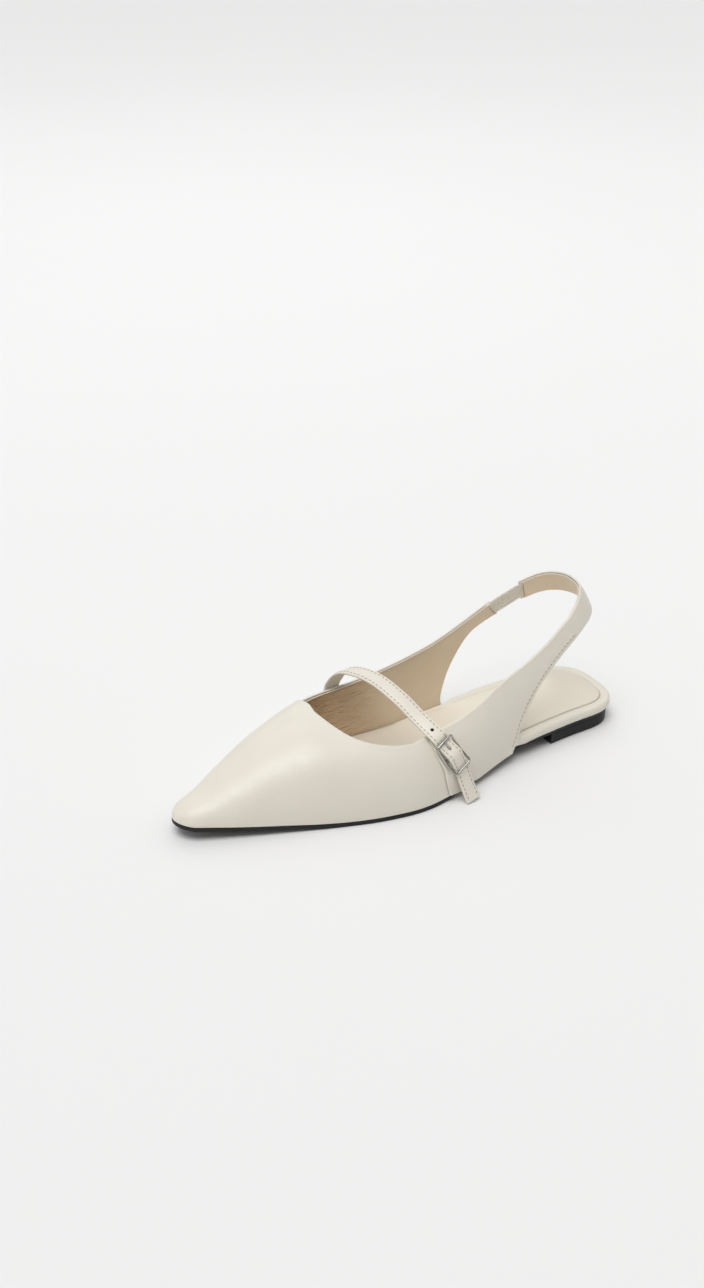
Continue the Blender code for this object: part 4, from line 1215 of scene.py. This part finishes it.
def ribbon(path, sides, width, thickness, sink, crown, flares=None):
    """Points and faces of a strap with rounded edges, a little crowned on its outer face.

    The flares, one for each point, are how much wider it grows on its positive side.
    """
    half, round_part = width / 2, thickness / 2
    flat = half - round_part
    section = []
    for step in range(RIBBON_STEPS + 1):
        u = -flat + (width - 2 * round_part) * step / RIBBON_STEPS
        seam = sink * bump(half - abs(u), STITCH_INSET, SEAM_WIDTH)
        section.append((u, round_part + crown * (1 - (u / half) ** 2) - seam))
    for step in range(1, ROUND_STEPS):
        turn = math.pi / 2 - math.pi * step / ROUND_STEPS
        section.append((flat + round_part * math.cos(turn), round_part * math.sin(turn)))
    for step in range(RIBBON_STEPS + 1):
        section.append((flat - (width - 2 * round_part) * step / RIBBON_STEPS, -round_part))
    for step in range(1, ROUND_STEPS):
        turn = -math.pi / 2 - math.pi * step / ROUND_STEPS
        section.append((-flat + round_part * math.cos(turn), round_part * math.sin(turn)))
    rows = []
    for i, (centre, side, lift) in enumerate(path_frames(path, sides)):
        grow = 1 + (flares[i] if flares else 0.0) / width
        rows.append([centre + side * ((u + half) * grow - half) + lift * v for u, v in section])
    return loft(rows)


def path_frames(path, sides):
    """For each point of a path: the point, the direction across the strap, and the direction off its face."""
    frames = []
    for i, centre in enumerate(path):
        tangent = (path[min(i + 1, len(path) - 1)] - path[max(i - 1, 0)]).normalized()
        side = (sides[i] - tangent * sides[i].dot(tangent)).normalized()
        frames.append((centre, side, side.cross(tangent)))
    return frames


def make_elastic():
    """Woven elastic: round cords along it, fine ribs across, and its ends tucked inside the leather."""
    def spot(across, share, lift):
        rib = Rib(*(between(low, high, share) for low, high in zip(STRAP_END, QUARTER_END)))
        return on_last(*on_rib(rib, across), lift)

    span = (spot(0.5, 1, 0) - spot(0.5, 0, 0)).length
    wefts = round((span + 2 * ELASTIC_TUCK) / WEFT_PITCH)
    steps, columns = WEFT_STEPS * wefts, CORD_STEPS * CORD_COUNT
    middle = -WALL / 2 - CORD_DEPTH / 2
    rows = []
    for step in range(steps + 1):
        share = ((span + 2 * ELASTIC_TUCK) * step / steps - ELASTIC_TUCK) / span
        margin = (1 - ELASTIC_WIDTH / (spot(1, share, 0) - spot(0, share, 0)).length) / 2
        weft = WEFT_DEPTH * math.cos(2 * math.pi * wefts * step / steps)
        row = []
        for face in (1, -1):
            for column in range(columns + 1):
                turn = column / columns if face > 0 else 1 - column / columns
                cord = abs(math.sin(math.pi * CORD_COUNT * turn)) ** CORD_ROUND
                thick = ELASTIC_THICKNESS / 2 - CORD_DEPTH * (1 - cord) + weft
                row.append(spot(margin + (1 - 2 * margin) * turn, share, middle + face * thick))
        rows.append(row)
    new_piece("elastic_weave", *loft(rows), ELASTIC, "elastic_cloth", ["elastic_gore"], STRAP_SHARP_ANGLE)


def carve(mesh, cutters):
    """A copy of a mesh with closed shapes cut out of it."""
    solid = add_object("solid", mesh)
    shapes = []
    for points, faces in cutters:
        shape = add_object("tool", closed_mesh("tool", points, faces))
        cut = solid.modifiers.new("cut", "BOOLEAN")
        cut.operation = "DIFFERENCE"
        cut.solver = "EXACT"
        cut.use_self = True
        cut.object = shape
        shapes.append(shape)
    evaluated = solid.evaluated_get(bpy.context.evaluated_depsgraph_get())
    result = bpy.data.meshes.new_from_object(evaluated)
    for spare in [solid] + shapes:
        bpy.data.objects.remove(spare)
    return result


def closed_mesh(name, points, faces):
    """A plain mesh with its faces turned outwards."""
    mesh = bpy.data.meshes.new(name)
    mesh.from_pydata(points, [], faces)
    build = bmesh.new()
    build.from_mesh(mesh)
    bmesh.ops.recalc_face_normals(build, faces=build.faces)
    build.to_mesh(mesh)
    build.free()
    return mesh


def strap_frames(buckle):
    """The instep strap's path and the direction across it at each point."""
    path = smooth_path(strap_path(buckle), STRAP_STEPS)
    start = forward(-STRAP_MEDIAL_AT * LENGTH, TOPLINE_HEIGHT / 2)
    sides = []
    for i in range(len(path)):
        share = min(1.0, max(0.0, (i / STRAP_STEPS - WALL_KNOTS + 1) / (len(STRAP_ARCH) + 1)))
        sides.append(start.lerp(buckle.bar, share))
    return path, sides


def make_instep_strap(buckle):
    path, sides = strap_frames(buckle)
    shank = prong_path(buckle)[TURN_STEPS:]
    holes = [tube([shank[0], shank[-2]], PRONG_RADIUS + 1.2 * GAP, buckle.bar)]
    i = (WALL_KNOTS + len(STRAP_ARCH) + 1) * STRAP_STEPS
    gone = 0.0
    while gone < HOLE_STEP:
        gone += (path[i] - path[i - 1]).length
        i -= 1
    spare = path[i].lerp(path[i + 1], (gone - HOLE_STEP) / (path[i + 1] - path[i]).length)
    normal = buckle.bar.cross(path[i + 1] - path[i]).normalized()
    floor = spare - normal * STRAP_THICKNESS * HOLE_FLOOR
    holes.append(tube([floor, spare + normal * STRAP_WIDTH / 2], HOLE_RADIUS, buckle.bar))
    points, faces = ribbon(path, sides, STRAP_WIDTH, STRAP_THICKNESS, STRAP_SINK, STRAP_CROWN)
    mesh = carve(closed_mesh("strap", points, faces), holes)
    dress("instep_strap_leather", mesh, LEATHER, ["instep_strap"], STRAP_SHARP_ANGLE)
    frames = path_frames(path, sides)[STRAP_STITCHES]
    height = STRAP_THICKNESS / 2 - STRAP_SINK
    rows = []
    for side in (-1, 1):
        offset = side * (STRAP_WIDTH / 2 - STITCH_INSET)
        line = [centre + across * offset + lift * height for centre, across, lift in frames]
        rows.append((line, [lift for _, _, lift in frames]))
    make_stitches("strap_stitch", rows, "strap_leather", PAINTED_SHADE_THREAD)
    # A dark disc of painted shade at the bottom of the spare hole
    lining = tube([floor, floor + normal * 2 * GAP], HOLE_INSIDE * HOLE_RADIUS, buckle.bar)
    new_piece("strap_hole_painted_shade", *lining, NEEDLE_HOLE_PAINTED_SHADE, "strap_leather")


def make_tab(buckle):
    """The strap that holds the buckle: a wide stitched layer up to the topline, and a loop round the bar."""
    reach = buckle.ring + PRONG_RADIUS + 2 * GAP
    width = PRONG_RADIUS + GAP
    corners = []
    for up in (-reach, reach):
        for bar, out in ((-width, -2 * reach), (width, -2 * reach), (width, 2 * reach), (-width, 2 * reach)):
            corners.append(buckle.at(up, buckle.bar_out + out, bar))
    slot = corners, [(3, 2, 1, 0), (4, 5, 6, 7), (0, 1, 5, 4), (1, 2, 6, 5), (2, 3, 7, 6), (3, 0, 4, 7)]
    loop = smooth_path(tab_loop(buckle), TAB_LOOP_STEPS)
    points, faces = ribbon(loop, [buckle.bar] * len(loop), TAB_WIDTH, TAB_THICKNESS, 0.0, STRAP_CROWN / 3)
    mesh = carve(closed_mesh("tab_loop", points, faces), [slot])
    dress("buckle_tab_loop", mesh, LEATHER, ["buckle_tab"], STRAP_SHARP_ANGLE)
    path, sides, flares = tab_base()
    points, faces = ribbon(path, sides, TAB_WIDTH, TAB_THICKNESS, 0.0, STRAP_CROWN / 3, flares)
    mesh = carve(closed_mesh("tab_base", points, faces), [slot])
    dress("buckle_tab_base", mesh, LEATHER, sharp=STRAP_SHARP_ANGLE)
    line, lifts = [], []
    for (centre, across, lift), flare in zip(path_frames(path, sides), flares):
        line.append(centre + across * (TAB_WIDTH / 2 + flare - STITCH_INSET) + lift * TAB_THICKNESS / 2)
        lifts.append(lift)
    make_stitches("tab_stitch", [(line, lifts)], "tab_leather", PAINTED_SHADE_THREAD)


def make_buckle(buckle):
    """The frame, arched along the strap, with its centre bar."""
    half_bar = BUCKLE_WIDTH / 2 - BAR_RADIUS
    loop = []
    for quarter in range(4):
        middle_up = (buckle.end_up - BUCKLE_CORNER) * (1 if quarter in (0, 3) else -1)
        middle_bar = (half_bar - BUCKLE_CORNER) * (1 if quarter in (0, 1) else -1)
        for step in range(CORNER_STEPS + 1):
            turn = math.pi / 2 * (quarter + step / CORNER_STEPS)
            up = middle_up + BUCKLE_CORNER * math.cos(turn)
            loop.append((up, middle_bar + BUCKLE_CORNER * math.sin(turn)))
        if quarter in (0, 2):
            side = math.copysign(half_bar, middle_bar)
            loop += [(middle_up * (1 - 2 * step / SIDE_BAR_STEPS), side) for step in range(1, SIDE_BAR_STEPS)]
    path = []
    for up, bar in loop:
        path.append(buckle.at(up, buckle.bar_out + BUCKLE_ARCH * (up / buckle.end_up) ** 2, bar))
    whole = tube(path, BAR_RADIUS, buckle.out, closed=True)
    ends = [buckle.at(0, buckle.bar_out, -half_bar), buckle.at(0, buckle.bar_out, half_bar)]
    add_mesh(whole, tube(ends, BAR_RADIUS, buckle.out))
    new_piece("buckle_frame_metal", *whole, METAL, "buckle_metal", ["buckle_frame"], merge=False)


def make_prong(buckle):
    """The prong, with its tip rounded off."""
    path = smooth_path(prong_path(buckle), PRONG_STEPS)
    radii = [PRONG_RADIUS] * (len(path) - len(PRONG_TAPER)) + [share * PRONG_RADIUS for share in PRONG_TAPER]
    points, faces = tube(path, radii, buckle.bar)
    new_piece("buckle_prong_metal", points, faces, METAL, "prong_metal", ["buckle_prong"], merge=False)


class Nodes:
    """A node tree that is filled by the names of kinds and sockets."""

    def __init__(self, tree):
        self.tree = tree

    def put(self, socket, value):
        """Links another node's output to a socket, or sets a constant on it."""
        if isinstance(value, bpy.types.NodeSocket):
            self.tree.links.new(value, socket)
        else:
            socket.default_value = value

    def set(self, node, inputs):
        for key, value in inputs.items():
            self.put(node.inputs[key], value)

    def add(self, kind, inputs=None, **settings):
        node = self.tree.nodes.new(kind)
        for key, value in settings.items():
            setattr(node, key, value)
        self.set(node, inputs or {})
        return node

    def blend(self, share, first, second):
        """A colour that fades from the first to the second."""
        mix = self.add("ShaderNodeMix", {"Factor": share}, data_type="RGBA")
        sockets = [socket for socket in mix.inputs if socket.type == "RGBA"]
        for socket, colour in zip(sockets, (first, second)):
            self.put(socket, colour)
        return next(socket for socket in mix.outputs if socket.type == "RGBA")


class Finish(Nodes):
    """A node material on one Principled shader, its textures in the shoe's own space, in metres."""

    def __init__(self, name, colour, roughness, metallic=0.0):
        self.material = bpy.data.materials.new(name)
        self.material.use_nodes = True
        super().__init__(self.material.node_tree)
        self.shader = self.tree.nodes["Principled BSDF"]
        self.set(self.shader, {"Base Color": (*colour, 1), "Roughness": roughness, "Metallic": metallic})
        self.colour = (*colour, 1)
        self.space = self.add("ShaderNodeTexCoord").outputs["Object"]
        self.height = None

    def noise(self, size, detail=2.0):
        """A noise texture with features of this size."""
        inputs = {"Vector": self.space, "Scale": 1 / size, "Detail": detail}
        return self.add("ShaderNodeTexNoise", inputs).outputs["Fac"]

    def cells(self, size):
        """The distance to the edges of small irregular cells, as in leather grain."""
        inputs = {"Vector": self.space, "Scale": 1 / size}
        return self.add("ShaderNodeTexVoronoi", inputs, feature="DISTANCE_TO_EDGE").outputs["Distance"]

    def spread(self, value, low, high, from_low=0.3, from_high=0.7):
        """Maps a value from one range to another."""
        inputs = {"Value": value, "From Min": from_low, "From Max": from_high, "To Min": low, "To Max": high}
        return self.add("ShaderNodeMapRange", inputs).outputs["Result"]

    def tint(self, value, shade):
        """Fades the colour towards a shade where the value is high."""
        self.colour = self.blend(value, self.colour, (*shade, 1))
        self.set(self.shader, {"Base Color": self.colour})

    def mottle(self, size, most, shade, detail=2.0):
        """Soft patches of a shade, up to a share of it."""
        self.tint(self.spread(self.noise(size, detail), 0.0, most), shade)

    def gloss(self, size, low, high, detail=2.0):
        """Roughness that drifts between two values."""
        self.set(self.shader, {"Roughness": self.spread(self.noise(size, detail), low, high)})

    def relief(self, value, depth):
        """Adds bump of this depth in metres where the value runs from 0 to 1."""
        inputs = {"Height": value, "Distance": depth}
        if self.height is not None:
            inputs["Normal"] = self.height
        self.height = self.add("ShaderNodeBump", inputs).outputs["Normal"]
        self.set(self.shader, {"Normal": self.height})


def leather_finish(name, colour, shade, roughness, grain):
    """Smooth full-grain leather: fine pores, faint grain cells, and soft changes of tone and gloss."""
    finish = Finish(name, colour, roughness)
    finish.set(finish.shader, {"Specular IOR Level": 0.5, "Coat Weight": 0.15, "Coat Roughness": 0.30})
    finish.mottle(TONE_SIZE, 0.35, shade, 3.0)
    finish.mottle(PORE_SIZE, 0.10, shade)
    finish.gloss(GLOSS_SIZE, roughness - 0.05, roughness + 0.07)
    finish.relief(finish.spread(finish.cells(GRAIN_SIZE), 0.0, 1.0, 0.0, 0.25), grain)
    finish.relief(finish.noise(FINE_SIZE), 0.6 * grain)
    return finish


def lining_finish():
    """Lining leather, softly folded where the toe's corner starts, with painted shade there and in the folds'
    troughs.
    """
    finish = leather_finish("lining_leather_look", TAN, TAN_SHADE, 0.55, 0.000018)
    parts = finish.add("ShaderNodeSeparateXYZ", {"Vector": finish.space})
    ahead = HEEL_LENGTH / 2 - FOLDS_FROM * LENGTH
    corner = finish.spread(parts.outputs["Y"], 0.0, 1.0, ahead, ahead - FOLDS_SPAN)
    # Painted shade that deepens into the toe's corner
    finish.tint(corner, TAN_PAINTED_SHADE)
    turn = (math.radians(FOLD_SLOPE), 0.0, 0.0)
    inputs = {"Vector": finish.space, "Rotation": turn, "Scale": FOLD_SIZE}
    folded = finish.add("ShaderNodeMapping", inputs, vector_type="TEXTURE").outputs["Vector"]
    inputs = {"Vector": folded, "Scale": 1.0, "Detail": 2.0, "Distortion": 0.6}
    folds = finish.add("ShaderNodeTexNoise", inputs).outputs["Fac"]
    finish.relief(finish.spread(folds, 0.0, corner, 0.35, 0.65), FOLD_DEPTH)
    # Painted shade in the troughs of the folds
    finish.tint(finish.spread(folds, 0.0, corner, 0.56, 0.36), TAN_PAINTED_SHADE)
    return finish.material


def rubber_finish():
    finish = Finish("sole_rubber_look", SOLE_BLACK, 0.48)
    finish.set(finish.shader, {"Specular IOR Level": 0.22})
    finish.mottle(0.012, 0.5, SOLE_GREY, 3.0)
    finish.gloss(0.003, 0.42, 0.58, 3.0)
    finish.relief(finish.noise(0.0006), 0.00003)
    return finish.material


def cloth_finish(name, colour, shade, size, depth):
    finish = Finish(name, colour, 0.82)
    finish.set(finish.shader, {"Sheen Weight": 0.25, "Sheen Roughness": 0.5, "Specular IOR Level": 0.25})
    finish.mottle(size, 0.6, shade)
    finish.relief(finish.noise(size), depth)
    return finish.material


def metal_finish():
    finish = Finish("buckle_metal_look", METAL_SILVER, 0.16, 1.0)
    finish.mottle(0.004, 0.4, METAL_GREY, 3.0)
    finish.gloss(0.0015, 0.10, 0.26, 4.0)
    finish.relief(finish.noise(0.0002), 0.000004)
    return finish.material


def floor_finish():
    finish = Finish("floor_look", FLOOR_WHITE, 0.9)
    finish.set(finish.shader, {"Specular IOR Level": 0.1})
    finish.tint(finish.noise(0.4), FLOOR_SHADE)
    return finish.material


def make_floor():
    half = FLOOR_SIZE / 2
    corners = [(x, y, -FLOOR_GAP) for x, y in ((-half, -half), (half, -half), (half, half), (-half, half))]
    mesh = bpy.data.meshes.new("floor")
    mesh.from_pydata(corners, [], [(0, 1, 2, 3)])
    mesh.materials.append(floor_finish())
    floor = add_object("floor", mesh)


def make_camera():
    """The camera where the photo was taken from."""
    azimuth, elevation, roll = map(math.radians, (CAMERA_AZIMUTH, CAMERA_ELEVATION, CAMERA_ROLL))
    flat = math.cos(elevation)
    back = Vector((math.sin(azimuth) * flat, -math.cos(azimuth) * flat, math.sin(elevation)))
    level = Vector((0, 0, 1)).cross(back).normalized()
    upright = back.cross(level)
    right = level * math.cos(roll) + upright * math.sin(roll)
    up = upright * math.cos(roll) - level * math.sin(roll)
    data = bpy.data.cameras.new("camera")
    data.sensor_width = SENSOR_WIDTH
    data.lens = FOCAL_PIXELS / PHOTO_HEIGHT * SENSOR_WIDTH
    camera = add_object("camera", data)
    turn = Matrix((right, up, back)).transposed().to_4x4()
    camera.matrix_world = Matrix.Translation(CAMERA_TARGET + back * CAMERA_DISTANCE) @ turn
    bpy.context.scene.camera = camera


def add_light(name, kind, direction, strength, size):
    """A soft white light that shines on the shoe from a direction."""
    data = bpy.data.lights.new(name, kind)
    data.energy = strength
    lamp = add_object(name, data)
    if kind == "SUN":
        data.angle = math.radians(size)
    else:
        data.shape = "DISK"
        data.size = size
    lamp.location = LIGHT_TARGET + Vector(direction).normalized() * LIGHT_DISTANCE
    lamp.rotation_euler = Vector(direction).to_track_quat("Z", "Y").to_euler()


def make_light():
    """A world that fades from a dim to a bright side, a wide sun, and a lamp behind the shoe."""
    world = bpy.data.worlds.new("studio")
    bpy.context.scene.world = world
    world.use_nodes = True
    nodes = Nodes(world.node_tree)
    space = nodes.add("ShaderNodeTexCoord").outputs["Generated"]
    facing = nodes.add("ShaderNodeVectorMath", {0: space, 1: WORLD_FROM}, operation="DOT_PRODUCT")
    inputs = {"Value": facing.outputs["Value"], "From Min": WORLD_SPREAD[0], "From Max": WORLD_SPREAD[1]}
    level = nodes.add("ShaderNodeMapRange", inputs, interpolation_type="SMOOTHSTEP").outputs["Result"]
    colour = nodes.blend(level, (*WORLD_DIM, 1), (*WORLD_BRIGHT, 1))
    nodes.set(world.node_tree.nodes["Background"], {"Color": colour})
    add_light("key", "SUN", KEY_FROM, KEY_STRENGTH, KEY_ANGLE)
    add_light("rim", "AREA", RIM_FROM, RIM_STRENGTH, RIM_SIZE)
    bpy.context.scene.view_settings.view_transform = "Standard"
    bpy.context.scene.view_settings.look = "None"


LEATHER = leather_finish("cream_leather_look", CREAM, CREAM_SHADE, 0.39, 0.000022).material
LINING = lining_finish()
SOCK = leather_finish("sock_leather_look", SOCK_BEIGE, SOCK_SHADE, 0.52, 0.000025).material
SOLE = rubber_finish()
ELASTIC = cloth_finish("elastic_look", ELASTIC_CREAM, ELASTIC_SHADE, 0.0004, 0.00008)
# Stitch thread darkened with painted shade, for the strap, the tab and the elastic's ends
PAINTED_SHADE_THREAD = cloth_finish("thread_look", THREAD_BROWN_PAINTED_SHADE, THREAD_PATCH_PAINTED_SHADE, 0.0003, 0.00004)
PALE_THREAD = cloth_finish("pale_thread_look", THREAD_PALE, THREAD_PALE_SHADE, 0.0003, 0.00004)
# Painted shade for the needle holes and the strap's spare hole
NEEDLE_HOLE_PAINTED_SHADE = cloth_finish("needle_hole_look", HOLE_PAINTED_SHADE_BROWN, HOLE_PAINTED_SHADE_DARK, 0.0003, 0.00002)
METAL = metal_finish()

sheet = Sheet(LEATHER_ROWS, LEATHER_MIDDLE, LEATHER_VAMP)
make_leather(sheet)
make_piping(sheet)
make_upper_stitches(sheet)
make_lining(sheet)
make_outsole()
make_heel()
make_footbed()
make_sock()
make_elastic()
strap_buckle = BuckleFrame()
make_instep_strap(strap_buckle)
make_tab(strap_buckle)
make_buckle(strap_buckle)
make_prong(strap_buckle)
make_floor()
make_camera()
make_light()
